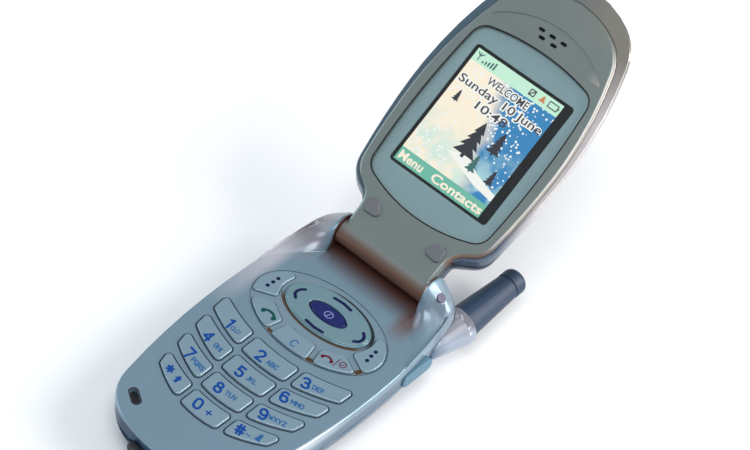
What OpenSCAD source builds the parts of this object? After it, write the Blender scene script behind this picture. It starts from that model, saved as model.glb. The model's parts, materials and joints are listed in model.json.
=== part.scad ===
// Folding mobile phone, open, lying on its back.
// +X is the phone's right, +Y runs from the keypad's bottom end to the hinge, +Z is up.
// The origin lies in the resting back face, under the middle of the battery.

/* [Base] */
// Width of the base at its widest
base_w = 46.2; // [45:0.1:50]
// Hinge axis to the bottom end of the base
base_reach = 74.6; // [73:0.1:80]
// Resting face to keypad face
base_t = 12.4; // [12:0.1:15]
// Hinge axis to the back edge of the base
base_tail = 4.6; // [4.2:0.1:7]
// Origin to hinge axis, along the base
hinge_y = 34; // [28:0.5:40]
// Keypad face to hinge axis
hinge_rise = 3.6; // [3.3:0.1:5]
// Keypad face down to the parting of front and rear cover
front_depth = 4.5; // [4.3:0.1:5]
// Keypad face down to the battery's upper face
battery_depth = 7; // [6.8:0.1:7.2]
// Hinge axis to the end of the battery, along the base
battery_start = 16.2; // [14:0.1:20]
// How far the sides lean in, from the parting down to the battery
side_lean = 0.45; // [0:0.05:0.6]
// Thickness of the plastic covers
wall = 1.2; // [1:0.1:1.4]
// Radius of the four corners of the bottom end
base_corner_r = 12.5; // [10:0.5:14]
// Radius of the two corners at the hinge end
tail_corner_r = 6; // [5:0.5:8]

/* [Hinge] */
// Angle between base and lid when fully open
open_angle = 147.4; // [120:0.2:165]
// Half length of the lid's barrel
barrel_half = 12.95; // [12:0.05:13.5]
// Radius of the lid's barrel
barrel_r = 3.1; // [3:0.05:3.4]
// Radius of the hinge parts that turn in the barrel
hinge_pin_r = 2.4; // [2:0.05:2.5]
// Running clearance of the hinge parts in the barrel
hinge_fit = 0.05; // [0.02:0.01:0.1]
// Radius of the ears about the hinge axis
ear_r = 4.1; // [3.9:0.1:4.4]
// Fall of the ears' outer faces for each millimetre outward
ear_slant = 0.8; // [0.7:0.05:0.9]
// Side gap between lid and ear
ear_gap = 0.2; // [0.1:0.05:0.4]

/* [Lid] */
// Hinge axis to the tip of the inner cover
lid_reach = 73.6; // [71:0.5:80]
// Width of the inner cover at its widest
lid_w = 42.8; // [42:0.1:46]
// Thickness of the whole lid
lid_t = 9.2; // [8.8:0.1:11]
// Gap between keypad face and lid when closed
lid_gap = 0.8; // [0.75:0.05:1]
// Rim of the outer cover outside the seam
rim_w = 0.8; // [0.6:0.1:1.2]
// How far the outer cover reaches past the inner one at the tip
tip_over = 3.4; // [0:0.1:4]
// How much wider than the inner cover it is there, on each side
tip_flare = 1.5; // [0:0.1:2]
// Thickness of the inner cover's plate
inner_plate = 1.6; // [1.4:0.1:1.8]
// Length of the lens, along the lid
lens_l = 47.3; // [44:0.1:48]
// Width of the lens
lens_w = 36.4; // [35:0.1:38]
// Lens bottom edge from the hinge axis
lens_v = 11.7; // [11.4:0.1:14]
// Display glass width
display_w = 31; // [29:0.1:32]
// Display glass length
display_l = 38; // [36:0.1:39]
// Display glass bottom edge from the hinge axis
display_v = 17; // [16.6:0.1:18]
// Diameter of the window in the lid's back
outer_window_d = 21; // [16:0.5:24]

/* [Keys] */
// Height of the keys above the keypad face
key_rise = 0.45; // [0.3:0.05:0.5]
// Travel of a key
key_travel = 0.3; // [0.2:0.05:0.32]
// Gap between a key and its hole
key_gap = 0.15; // [0.1:0.01:0.2]
// Width of the flange that keeps a key in the cover
key_flange = 0.3; // [0.2:0.05:0.35]
// Corner radius of the keys
key_corner_r = 0.9; // [0.5:0.05:1.1]
// Distance between rows of number keys
row_pitch = 6.83; // [6.8:0.01:7]
// Length of a number key, along the base
key_l = 5.35; // [5:0.05:5.4]
// Upper edge of the first row, from the hinge axis
row_y = 35.9; // [35.5:0.1:36.2]
// Half width of the first middle key
mid_key_half = 6.4; // [6:0.05:6.6]
// Gap between the middle and the outer keys
column_gap = 1.5; // [1.35:0.05:1.8]
// Distance of the outer keys from the base's edge
key_margin = 3.7; // [3.4:0.05:4]
// Hinge axis to the middle of the function keys' oval
oval_y = 22.3; // [22:0.1:22.6]
// Width of the function keys' oval
oval_w = 37; // [36:0.1:38]
// Length of the function keys' oval, along the base
oval_l = 22; // [21.6:0.1:22.4]
// Hinge axis to the middle of the ring key
ring_y = 19.2; // [19:0.1:19.4]
// Width of the ring key
ring_w = 23.8; // [23:0.1:24]
// Length of the ring key, along the base
ring_l = 12.5; // [12:0.1:12.6]
// Width of the centre key
centre_w = 10.4; // [9:0.1:11]
// Length of the centre key, along the base
centre_l = 4.4; // [4:0.1:5]

/* [Antenna] */
// Length of the antenna outside its collar
antenna_l = 20.3; // [15:0.1:24]
// Radius of the antenna at its root
antenna_r = 4.15; // [3.6:0.05:4.2]
// Radius of the antenna under its tip
antenna_tip_r = 3.1; // [2.6:0.05:3.2]
// Distance of the antenna's axis inside the widest side of the base
antenna_in = 3.2; // [2.8:0.1:3.8]
// Keypad face down to the antenna's axis
antenna_drop = 5; // [4.8:0.1:5.4]

/* [Battery and side parts] */
// Bottom-end radius of the battery, along its lower edges
battery_round = 4.6; // [4:0.1:5]
// Gap around the battery
battery_gap = 0.15; // [0.1:0.05:0.3]
// Length of the volume key
volume_l = 12; // [10:0.5:14]
// Length of the headset jack's cover
jack_cover_l = 10; // [8:0.5:11]
// Width of the connector at the bottom end
connector_w = 15; // [12:0.5:17]
// Radius of a case screw's shank
screw_r = 0.75; // [0.6:0.05:0.8]

/* [Hidden] */
$fn = 48;
eps = 0.02;            // overlap of shapes that are joined
loose = 0.1;           // gap between parts that only lie beside each other

base_half = base_w / 2;
antenna_x = base_half - antenna_in;
base_end = -base_reach;
side_r = 180;          // radius of the base's long sides
side_y = -30;          // where the base is widest
foot_r = 42;           // radius of the bottom end
lid_half = lid_w / 2;
axis_to_face = hinge_rise - lid_gap;   // hinge axis to the lid's inner face
lid_side_r = 85;       // radius of the lid's sides above its widest place
lid_low_r = 150;       // and below it
lid_wide_v = lid_reach / 2;
lid_tip_r = 24;
lid_corner_r = 12;
shoulder_r = 6.5;      // convex corner of the lid's shoulder
shoulder_v = 17.3;
neck_r = 5.5;          // hollow between shoulder and neck
neck_half = barrel_half - 0.1;
ear_x = barrel_half + ear_gap;
board_top = -3.1;      // main board's upper face
board_t = 0.8;
cover_under = -wall;
flange_top = cover_under - loose;
flange_under = -1.9;
mat_top = flange_under - key_travel - 0.05;
boss_r = screw_r + 1;
screws = [[base_half - 12.6, -7.5], [base_half - 4.1, -28.4], [base_half - 14.6, -base_reach + 10.6]];
deck_top = -battery_depth + battery_gap / 2 + 1.1;
deck_under = -battery_depth + battery_gap / 2;

// ---- outlines ---------------------------------------------------------------------------

function arc(c, r, a0, a1, n) =
    [for (i = [0:n]) let (a = a0 + (a1 - a0) * i / n) c + r * [cos(a), sin(a)]];
function heading(v) = atan2(v[1], v[0]);
function mirrored(pts) = [for (i = [len(pts) - 1:-1:0]) [-pts[i][0], pts[i][1]]];
// Meeting point of two circles, on the side that s names
function meet(p, rp, q, rq, s) =
    let (d = norm(q - p), a = (rp * rp - rq * rq + d * d) / (2 * d),
         h = sqrt(rp * rp - a * a), u = (q - p) / d)
    p + a * u + s * h * [-u[1], u[0]];

// Outline of the base, drawn in by d
function base_right(d) =
    let (side_c = [base_half - side_r, side_y], foot_c = [0, base_end + foot_r],
         c = meet(side_c, side_r - base_corner_r, foot_c, foot_r - base_corner_r, -1),
         t_y = base_tail - tail_corner_r,
         t_x = side_c[0] + sqrt(pow(side_r - tail_corner_r, 2) - pow(t_y - side_y, 2)),
         t = [t_x, t_y])
    concat(arc(foot_c, foot_r - d, -89, heading(c - foot_c), 4),
           arc(c, base_corner_r - d, heading(c - foot_c) + 9, heading(c - side_c), 6),
           arc(side_c, side_r - d, heading(c - side_c) + 2.5, heading(t - side_c), 8),
           arc(t, tail_corner_r - d, heading(t - side_c) + 15, 90, 5));
function base_outline(d) = concat(base_right(d), mirrored(base_right(d)));
// Half width of the base at y
function base_half_at(y) = base_half - side_r + sqrt(side_r * side_r - pow(y - side_y, 2));

// Outline of the lid, drawn in by d, from the line v0 up. The neck keeps its width where d is negative.
function neck_grow(d, k) = d < 0 ? d * k : d;
function lid_path(d) =
    let (low_c = [lid_half - lid_low_r, lid_wide_v], up_c = [lid_half - lid_side_r, lid_wide_v],
         tip_c = [0, lid_reach - lid_tip_r],
         c = meet(up_c, lid_side_r - lid_corner_r, tip_c, lid_tip_r - lid_corner_r, 1),
         s = [low_c[0] + sqrt(pow(lid_low_r - shoulder_r, 2) - pow(shoulder_v - lid_wide_v, 2)),
              shoulder_v],
         n_x = neck_half + neck_r,
         n = [n_x, s[1] - sqrt(pow(shoulder_r + neck_r, 2) - pow(n_x - s[0], 2))],
         turn = 180 + heading(n - s))
    concat([for (k = [0:0.25:1]) let (a = 180 + (turn - 180) * k)
                n + (neck_r + neck_grow(d, k)) * [cos(a), sin(a)]],
           arc(s, shoulder_r - d, turn - 168, heading(s - low_c), 5),
           arc(low_c, lid_low_r - d, heading(s - low_c) + 2, 0, 3),
           arc(up_c, lid_side_r - d, 3, heading(c - up_c), 4),
           arc(c, lid_corner_r - d, heading(c - up_c) + 10, heading(c - tip_c), 4),
           arc(tip_c, lid_tip_r - d, heading(c - tip_c) + 7, 88, 2));
function lid_right(d, v0) = let (path = lid_path(d), step = 0.15)
    concat([[neck_half - max(d, 0), v0]],
           [for (i = [0:len(path) - 1]) [path[i][0], max(path[i][1], v0 + step * (i + 1))]]);
function lid_outline(d, v0) = concat(lid_right(d, v0), mirrored(lid_right(d, v0)));

// Closed skin over m rings of n points each. The end faces are strips from each point to its mirror
// image, or a fan from the first point.
module skin(points, n, m, fan = false) {
    sides = [for (k = [0:m - 2], i = [0:n - 1]) let (j = (i + 1) % n)
        each [[k * n + i, (k + 1) * n + i, (k + 1) * n + j], [k * n + i, (k + 1) * n + j, k * n + j]]];
    first = fan ? [for (i = [1:n - 2]) [0, i, i + 1]] : [for (i = [0:n / 2 - 2]) [i, i + 1, n - 2 - i, n - 1 - i]];
    last = [for (f = first) [for (k = [len(f) - 1:-1:0]) (m - 1) * n + f[k]]];
    polyhedron(points, concat(first, sides, last));
}
// Skin through level rings of points, lowest first: each ring is [height, points]
module loft(rings)
    skin([for (r = rings) each [for (p = r[1]) [p[0], p[1], r[0]]]], len(rings[0][1]), len(rings));
module slab(outline, z0, z1) translate([0, 0, z0]) linear_extrude(z1 - z0) polygon(outline);
// Upright ellipse of the given width and length
module oval(w, l) scale([1, l / w]) circle(d = w, $fn = 48);
module oval_slab(w, l, z0, z1) translate([0, 0, z0]) linear_extrude(z1 - z0)
    polygon([for (i = [0:47]) [cos(i * 7.5) * w / 2, sin(i * 7.5) * l / 2]]);
module block(x0, x1, y0, y1, z0, z1) translate([x0, y0, z0]) cube([x1 - x0, y1 - y0, z1 - z0]);
// Rod along X between x0 and x1, about the local origin
module rod_x(r, x0, x1) translate([x0, 0, 0]) rotate([0, 90, 0]) cylinder(r = r, h = x1 - x0);
module both_sides() {
    children();
    mirror([1, 0, 0]) children();
}
// Base frame: y from the hinge axis, z from the keypad face
module in_base() translate([0, hinge_y, base_t]) children();
// Lid frame: x, v from the hinge axis along the lid, w out of its inner face
module in_lid() translate([0, hinge_y, base_t + hinge_rise]) rotate([180 - open_angle, 0, 0])
    translate([0, 0, axis_to_face]) children();

// ---- keys -------------------------------------------------------------------------------

key_slant = 0.35;      // narrowing of the key columns from row to row
function row_top(i, x) = -row_y - row_pitch * i + (0.0115 + 0.0007 * i) * x * x;
function row_foot(i, x) = -row_y - row_pitch * i - key_l + (0.0135 + 0.0022 * i) * x * x;
function mid_half(i) = mid_key_half - key_slant * i;
function outer_from(i) = mid_half(i) + column_gap;
function outer_to(i, y) = base_half_at(y) - key_margin - 0.25 * i;
// Outline between the curves of row i, from xa to xb (xc at its lower edge)
function key_face(i, xa, xb, xc) = concat(
    [for (k = [0:4]) let (x = xa + (xc - xa) * k / 4) [x, row_foot(i, x)]],
    [for (k = [4:-1:0]) let (x = xa + (xb - xa) * k / 4) [x, row_top(i, x)]]);
module key_plan(col, i) {
    to = outer_to(i, row_top(i, 18));
    low = outer_to(i, row_foot(i, 18)) - 0.15 - 0.2 * i;
    if (col == 0) polygon(key_face(i, -mid_half(i), mid_half(i), mid_half(i) - 0.15));
    if (col == 1) polygon(key_face(i, outer_from(i), to, low));
    if (col == -1) mirror([1, 0]) polygon(key_face(i, outer_from(i), to, low));
}
// Areas of the function keys inside the oval
module oval_area() translate([0, -oval_y]) polygon([for (i = [0:47])
    [cos(i * 7.5) * (oval_w / 2 - 0.3), sin(i * 7.5) * (oval_l / 2 - 0.3)]]);
ring_web = 1.1;        // cover left between the ring key and the function keys
module web_area() translate([0, -ring_y]) polygon([for (i = [0:47])
    [cos(i * 7.5) * (ring_w / 2 + ring_web), sin(i * 7.5) * (ring_l / 2 + 2.6)]]);
// Plan of a function key: the oval without the web, inside a wedge
module function_plan(name) difference() {
    intersection() {
        oval_area();
        translate([0, -oval_y]) {
            if (name == "soft") polygon([[11, 6.4], [15.2, 6.4], [24, 4], [24, -7], [17.2, -4], [11, -1.1]]);
            if (name == "end") polygon([[11, -2.9], [17, -5.7], [24, -9], [24, -14], [7.9, -14], [5.9, -5.5]]);
            if (name == "clear") polygon([[-4.3, -5.5], [4.3, -5.5], [6.3, -14], [-6.3, -14]]);
        }
    }
    web_area();
}
module rounded(grow) offset(r = key_corner_r + grow, $fn = 12) offset(delta = -key_corner_r) children();
// A key from its plan: flange under the cover, body, and a stepped crown
module key_body() {
    translate([0, 0, flange_under]) linear_extrude(flange_top - flange_under)
        rounded(key_flange) children();
    translate([0, 0, flange_top - eps]) linear_extrude(key_rise - 0.2 - flange_top + eps)
        rounded(0) children();
    translate([0, 0, key_rise - 0.2 - eps]) linear_extrude(0.2 + eps)
        rounded(-0.3) children();
}
module number_key(col, i) color([0.66, 0.72, 0.75]) in_base() key_body() key_plan(col, i);
module key_1() number_key(-1, 0);
module key_2() number_key(0, 0);
module key_3() number_key(1, 0);
module key_4() number_key(-1, 1);
module key_5() number_key(0, 1);
module key_6() number_key(1, 1);
module key_7() number_key(-1, 2);
module key_8() number_key(0, 2);
module key_9() number_key(1, 2);
module key_star() number_key(-1, 3);
module key_0() number_key(0, 3);
module key_hash() number_key(1, 3);
module function_key(name) color([0.6, 0.72, 0.76]) in_base() key_body() function_plan(name);
module soft_key_right() function_key("soft");
module soft_key_left() mirror([1, 0, 0]) function_key("soft");
module end_key() function_key("end");
module send_key() mirror([1, 0, 0]) function_key("end");
module clear_key() function_key("clear");

ring_flange = 0.4;
hole_w = centre_w + 2 * 0.2;
hole_l = centre_l + 2 * 0.2;
tilt_under = -1.8;     // underside of the ring key
module at_ring() in_base() translate([0, -ring_y, 0]) children();
module nav_ring() color([0.62, 0.76, 0.78]) at_ring() difference() {
    union() {
        oval_slab(ring_w, ring_l, tilt_under, key_rise - 0.2);
        oval_slab(ring_w - 0.9, ring_l - 0.9, 0, key_rise);
        oval_slab(ring_w + 2 * ring_flange, ring_l + 2 * ring_flange, tilt_under, tilt_under + 0.25);
    }
    oval_slab(hole_w, hole_l, -3, 1);
}
// Elastic web under the ring key, with one nub above each of its four domes
module nav_actuator() color([0.85, 0.85, 0.82]) at_ring() difference() {
    union() {
        oval_slab(ring_w - 4, ring_l - 2.4, -2.4, tilt_under - 0.15);
        for (p = [[-8, 0], [8, 0], [0, -4], [0, 4]]) translate([p[0], p[1], -2.5]) cylinder(r = 0.7, h = 0.4);
    }
    oval_slab(hole_w + 0.8, hole_l + 0.8, -3, 0);
}
module centre_key() color([0.09, 0.11, 0.42]) at_ring() {
    oval_slab(centre_w, centre_l, -2.3, key_rise - 0.15);
    oval_slab(centre_w - 0.5, centre_l - 0.5, -0.5, key_rise);
}

// ---- base -------------------------------------------------------------------------------

// Profile of an ear at distance x from the middle: [y, z] points, always as many
// The ear's outer face slants down to the side, and its crest sweeps forward along the base's edge
ear_out = base_half - 0.6;
function ear_t(x) = (x - ear_x) / (ear_out - ear_x);
tail_c = [base_half - side_r + sqrt(pow(side_r - tail_corner_r, 2) - pow(base_tail - tail_corner_r - side_y, 2)),
    base_tail - tail_corner_r];
// Back edge of the base at x
function back_edge(x) = x < tail_c[0] ? base_tail :
    min(tail_c[1] + sqrt(max(0, pow(tail_corner_r, 2) - pow(x - tail_c[0], 2))),
        x > tail_c[0] + 0.98 * tail_corner_r ? side_y + sqrt(pow(side_r, 2) - pow(x - base_half + side_r, 2)) : 99);
// Height of the slanting outer face at x
function slant(x) = hinge_rise + ear_r - ear_slant * max(0, x - ear_x - 0.6);
function ear_profile(x) =
    let (t = ear_t(x), back = back_edge(x) - 0.12, top = slant(x), r = min(ear_r, 0.7 + 0.52 * top),
         yc = min(0.35, back - r), zc = top - r, foot = -ear_r - 1.2 - 13 * t,
         k = 1.7 - 1.0 * t, y1 = yc - r * 0.82, z1 = zc + r * 0.57)
    concat([[min(base_tail - 0.3, back), -0.6]],
           [for (a = [0, 30, 60, 90, 118, 145]) [yc + r * cos(a), max(zc + r * sin(a), -0.3)]],
           [for (i = [1:7]) let (u = i / 7) [y1 + (foot - y1) * u, max(z1 + 0.1, 0.1) * pow(1 - u, k) - 0.1]],
           [[foot + 0.4, -0.6]]);
module ear() {
    xs = [for (t = [0, 0.08, 0.18, 0.3, 0.42, 0.54, 0.66, 0.77, 0.86, 0.93, 1]) ear_x + (ear_out - ear_x) * t];
    skin([for (x = xs) each [for (p = ear_profile(x)) [x, p[0], p[1]]]], len(ear_profile(ear_x)), len(xs), true);
}
front_rings = [[-front_depth, 0], [-1.2, 0], [-0.6, 0.04], [-0.25, 0.2], [0, 0.6]];
seam = 0.05;
mic_at = [-13.2, -base_reach + 7.4];
mic_r = 1.8;
plug_angle = 84;       // direction of the ear's plug about the hinge axis
plug_x = ear_x + 3.7;
plug_r = 1.15;
plug_lean = atan(ear_slant);
hinge_seat = 1.7;      // depth of the hinge parts in the ears
plug_arm = min(ear_r, 0.7 + 0.52 * slant(plug_x));
module at_plug() translate([plug_x, 0, slant(plug_x) - plug_arm - hinge_rise]) rotate([90 - plug_angle, 0, 0])
    translate([0, 0, plug_arm]) rotate([0, plug_lean, 0]) children();
jack_y = -14;
module side_plug(l, h, x0, x1) translate([x0, 0, 0]) rotate([0, 90, 0]) linear_extrude(x1 - x0)
    offset(r = h / 2 - 0.1, $fn = 16) square([0.2, l - h + 0.2], center = true);

module front_cover() color([0.62, 0.71, 0.76]) in_base() difference() {
    union() {
        difference() {
            loft([for (r = front_rings) [r[0], base_outline(r[1])]]);
            slab(base_outline(wall), -front_depth - 1, cover_under);
        }
        both_sides() ear();
        both_sides() for (p = screws) translate([p[0], p[1], -front_depth + loose])
            cylinder(r = boss_r, h = front_depth - loose - wall / 2);
    }
    // key holes
    for (i = [0:3], col = [-1:1]) translate([0, 0, -2]) linear_extrude(3) rounded(key_gap) key_plan(col, i);
    both_sides() translate([0, 0, -2]) linear_extrude(3) rounded(key_gap) function_plan("soft");
    both_sides() translate([0, 0, -2]) linear_extrude(3) rounded(key_gap) function_plan("end");
    translate([0, 0, -2]) linear_extrude(3) rounded(key_gap) function_plan("clear");
    translate([0, -ring_y, 0]) oval_slab(ring_w + 2 * key_gap, ring_l + 2 * key_gap, -2, 1);
    // groove around the oval of function keys
    translate([0, -oval_y, 0]) difference() {
        oval_slab(oval_w + 0.3, oval_l + 0.3, -0.3, 1);
        oval_slab(oval_w - 0.2, oval_l - 0.2, -1, 2);
    }
    // microphone hole
    translate([mic_at[0], mic_at[1], -3]) rotate([0, 0, -32]) translate([-1.1, 0, 0]) cylinder(r = 0.95, h = 5);
    translate([mic_at[0], mic_at[1], -3]) rotate([0, 0, -32]) translate([1.1, 0, 0]) cylinder(r = 0.95, h = 5);
    translate([mic_at[0], mic_at[1], -3]) rotate([0, 0, -32]) block(-1.1, 1.1, -0.95, 0.95, 0, 5);
    // screw holes
    both_sides() for (p = screws) translate([p[0], p[1], -front_depth - 1]) cylinder(r = screw_r + 0.05, h = front_depth - 0.2);
    // bores for the hinge parts, and the plug's seat
    translate([0, 0, hinge_rise]) both_sides() rod_x(hinge_pin_r + hinge_fit, ear_x - 1, ear_x + hinge_seat);
    translate([0, 0, hinge_rise]) at_plug() translate([0, 0, -1]) cylinder(r = plug_r, h = 3);
    at_antenna() translate([0, 0, -core_l - 0.5]) cylinder(r = core_r + 0.1, h = core_l + 3.5);
    // seats at the parting: connector, headset jack, volume key
    block(-connector_w / 2 - loose, connector_w / 2 + loose, base_end - 1, base_end + 3, -front_depth - 1, -front_depth + 0.7);
    translate([0, jack_y, -front_depth]) side_plug(jack_cover_l + 2 * loose, 3.6, base_half - 3.5, base_half + 3);
    translate([0, volume_y, -front_depth]) mirror([1, 0, 0]) side_plug(volume_l + 2 * loose, 2.8, base_half - 3.5, base_half + 3);
}

body_rings = [[-base_t, side_lean + battery_round], [-base_t + 0.5, side_lean + 2.9], [-base_t + 1.6, side_lean + 1.8],
    [-base_t + 3.2, side_lean + 0.9], [-battery_depth, side_lean]];
block_y = -battery_start + battery_gap;
collar_r = antenna_r + 0.65;
collar_l = 12.5;
module at_antenna() translate([antenna_x, base_tail - 0.2, -antenna_drop]) rotate([-90, 0, 0]) children();
module rear_cover() color([0.55, 0.64, 0.7]) in_base() difference() {
    union() {
        loft([[-battery_depth, base_outline(side_lean)], [-front_depth - seam, base_outline(0)]]);
        intersection() {
            loft([for (r = body_rings) [r[0], base_outline(r[1])]]);
            block(-40, 40, block_y, 20, -base_t, -battery_depth + 1);
        }
        at_antenna() translate([0, 0, -collar_l]) cylinder(r1 = collar_r - 2.6, r2 = collar_r, h = collar_l - 2);
        at_antenna() translate([0, 0, -2 - eps]) cylinder(r = collar_r, h = 2 + eps);
    }
    slab(base_outline(wall), deck_top, -front_depth + 5);
    // keep clear of the front cover, which the collar stands behind
    slab(base_outline(-seam), -front_depth - seam, 2);
    // hollow of the hinge-end block
    difference() {
        intersection() {
            loft([[-base_t + wall, base_outline(side_lean + 2.3 + wall)], [-base_t + 3.2, base_outline(side_lean + 0.9 + wall)],
                [deck_top + 1, base_outline(side_lean + wall)]]);
            block(-16, 15, block_y + 1.5, base_tail, -base_t, deck_top + 2);
        }
        both_sides() translate([screws[0][0], screws[0][1], -base_t]) cylinder(r = 2.6, h = base_t);
    }
    // antenna's bore
    at_antenna() translate([0, 0, -core_l - 0.5]) cylinder(r = core_r + 0.05, h = core_l + 3.5);
    // screws: shank holes and counterbores
    both_sides() for (p = screws) translate([p[0], p[1], -base_t - 1]) cylinder(r = screw_r + 0.1, h = base_t);
    both_sides() for (p = screws) translate([p[0], p[1], -base_t - 1]) cylinder(r = head_r + 0.1, h = base_t + 1 + head_top);
    // latch recess, card slot, connector, headset jack and volume key
    block(-latch_w / 2 - 0.3, latch_w / 2 + 0.3, block_y - 1, block_y + latch_l + 2, -base_t - 1, -base_t + latch_t + 0.1);
    block(-connector_w / 2 - loose, connector_w / 2 + loose, base_end - 1, base_end + 3, -front_depth - 2.2, -front_depth + 1);
    translate([0, jack_y, -front_depth]) side_plug(jack_cover_l + 2 * loose, 3.6, base_half - 3.5, base_half + 3);
    translate([0, volume_y, -front_depth]) mirror([1, 0, 0]) side_plug(volume_l + 2 * loose, 2.8, base_half - 3.5, base_half + 3);
    // windows for the battery's contacts
    block(-5.3, 5.3, contact_y - 1.3, contact_y + 1.3, deck_under - 1, deck_top + 1);
}
head_r = 1.35;
head_top = deck_under + 0.55;
contact_y = -20;
latch_w = 9;
latch_l = 3.4;
latch_t = 1.5;
volume_y = -20.4;

module battery_pack() color([0.52, 0.6, 0.66]) in_base() difference() {
    intersection() {
        loft([for (r = body_rings) [r[0], base_outline(r[1])]]);
        block(-40, 40, base_end - 5, -battery_start, -base_t - 1, -battery_depth - battery_gap / 2);
    }
    // contact pads' recess and the latch's notch
    block(-5, 5, contact_y - 1, contact_y + 1, -battery_depth - 0.5, -battery_depth + 1);
    block(-latch_w / 2, latch_w / 2, -battery_start - 1, -battery_start + 1, -base_t + 2.2, -base_t + 3.4);
}
module battery_latch() color([0.45, 0.53, 0.6]) in_base() difference() {
    block(-latch_w / 2, latch_w / 2, block_y + 0.1, block_y + latch_l, -base_t + 0.15, -base_t + latch_t);
    for (k = [0:2]) block(-latch_w / 2 + 1, latch_w / 2 - 1, block_y + 0.8 + 0.8 * k, block_y + 1.1 + 0.8 * k, -base_t, -base_t + 0.45);
}

// Main board, clear of the covers' walls, bosses and the side parts
module board_plan(d) difference() {
    polygon(base_outline(wall + d));
    for (s = [-1, 1], p = screws) translate([s * p[0], p[1]]) circle(r = boss_r + 0.15);
    translate([mic_at[0], mic_at[1]]) circle(r = mic_r + 0.2);
}
// Room for the side parts and the antenna's core, which reach inside the covers
module side_room() {
    translate([base_half - 3.7, jack_y - jack_cover_l / 2 - 0.3]) square([5, jack_cover_l + 0.6]);
    translate([-base_half - 1.3, volume_y - volume_l / 2 - 0.3]) square([5, volume_l + 0.6]);
    translate([antenna_x - core_r - 0.3, base_tail - core_l - 0.6]) square([2 * core_r + 0.6, core_l + 1]);
}
module keypad_mat() color([0.88, 0.9, 0.9]) in_base() difference() {
    translate([0, 0, mat_top - 0.5]) linear_extrude(0.5) difference() {
        board_plan(0.15);
        translate([-30, -9.6]) square([60, 30]);
        translate([0, -ring_y]) polygon([for (i = [0:47])
            [cos(i * 7.5) * (ring_w / 2 + 1), sin(i * 7.5) * (ring_l / 2 + 1)]]);
    }
}
module dome_sheet() color([0.85, 0.8, 0.6]) in_base() difference() {
    union() {
        translate([0, 0, board_top + 0.02]) linear_extrude(0.12) difference() {
            board_plan(0.3);
            side_room();
            translate([-30, -9.6]) square([60, 30]);
        }
        for (i = [0:3], s = [-1, 0, 1]) {
            x = s * (outer_from(i) + 5.6);
            translate([x, row_top(i, x) - key_l / 2, board_top + 0.1]) cylinder(r1 = 2, r2 = 1.2, h = 0.2);
        }
        for (p = [[-15.2, -21.5], [15.2, -21.5], [-11, -28.8], [11, -28.8], [0, -30.6], [0, -ring_y],
                  [-8, -ring_y], [8, -ring_y], [0, -ring_y - 4.4], [0, -ring_y + 4.4]])
            translate([p[0], p[1], board_top + 0.1]) cylinder(r1 = 1.8, r2 = 1, h = 0.2);
    }
}
module main_board() color([0.1, 0.35, 0.2]) in_base() translate([0, 0, board_top - board_t]) linear_extrude(board_t)
    difference() {
        board_plan(0.2);
        side_room();
    }
under_board = board_top - board_t - 0.05;
module shield_cans() color([0.75, 0.76, 0.78]) in_base() for (b = [[-15, 15, -62, -42], [-15, -1, -40, -25], [1, 15, -40, -25]])
    block(b[0], b[1], b[2], b[3], deck_top + 0.1, under_board);
card_half = 6.8;
card_end = 14.4;
card_l = 13;
module sim_holder() color([0.8, 0.78, 0.7]) in_base() difference() {
    block(-card_half - 0.8, card_half + 0.8, -card_end, -card_end + card_l, -battery_depth - 0.6, under_board);
    block(-card_half, card_half, -card_end - 2, -card_end + card_l - 0.8, -battery_depth, -battery_depth + 1);
}
module battery_contacts() color([0.85, 0.7, 0.3]) in_base() for (i = [-1, 0, 1]) {
    block(i * 3 - 0.8, i * 3 + 0.8, contact_y - 0.7, contact_y + 0.7, -battery_depth - 0.45, under_board);
}
module io_connector() color([0.3, 0.3, 0.32]) in_base() difference() {
    block(-connector_w / 2, connector_w / 2, base_end + 1.4, base_end + 6.5, -front_depth - 1.3, under_board);
    block(-connector_w / 2 + 1, connector_w / 2 - 1, base_end, base_end + 5.5, -front_depth - 0.9, -front_depth + 0.25);
}
module io_cover() color([0.07, 0.07, 0.08]) in_base() {
    translate([0, base_end - 0.75, -front_depth - 0.75]) rotate([-90, 0, 0]) linear_extrude(1.9)
        offset(r = 1, $fn = 24) square([connector_w - 2.2, 0.66], center = true);
}
module microphone() color([0.15, 0.15, 0.16]) in_base() translate([mic_at[0], mic_at[1], -3.9])
    cylinder(r = mic_r, h = 3.9 - wall - loose);

core_r = 2;
core_l = 8.5;           // length of the core inside the base
tip_l = 3.8;
module antenna_sleeve() color([0.25, 0.3, 0.42]) in_base() at_antenna() difference() {
    translate([0, 0, loose]) cylinder(r1 = antenna_r, r2 = antenna_tip_r, h = antenna_l - tip_l - loose);
    translate([0, 0, -1]) cylinder(r = core_r + 0.02, h = antenna_l - tip_l);
}
module antenna_cap() color([0.28, 0.33, 0.45]) in_base() at_antenna() translate([0, 0, antenna_l - tip_l + seam])
    rotate_extrude() polygon(concat([[0, 0], [antenna_tip_r + 0.1, 0]],
        [for (a = [0:15:75]) [antenna_tip_r - 1.4 + 1.5 * cos(a), tip_l - seam - 1.5 + 1.5 * sin(a)]],
        [[antenna_tip_r - 1.4, tip_l - seam], [0, tip_l - seam]]));
module antenna_core() color([0.8, 0.65, 0.35]) in_base() at_antenna()
    translate([0, 0, -core_l]) cylinder(r = core_r, h = core_l + antenna_l - tip_l - 1.2);
module volume_key() color([0.55, 0.64, 0.7]) in_base() translate([0, volume_y, -front_depth]) mirror([1, 0, 0])
    side_plug(volume_l, 2.6, base_half - 2.6, base_half + 0.55);
module headset_jack() color([0.2, 0.2, 0.22]) in_base() difference() {
    block(base_half - 12, base_half - 3.6, jack_y - 2.6, jack_y + 2.6, deck_top + 0.1, under_board);
    translate([0, jack_y, (deck_top + under_board) / 2]) rod_x(0.6, base_half - 11, base_half);
}
module jack_cover() color([0.45, 0.62, 0.72]) in_base() translate([0, jack_y, -front_depth])
    side_plug(jack_cover_l, 3.4, base_half - 3.3, base_half + 0.1);
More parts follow.
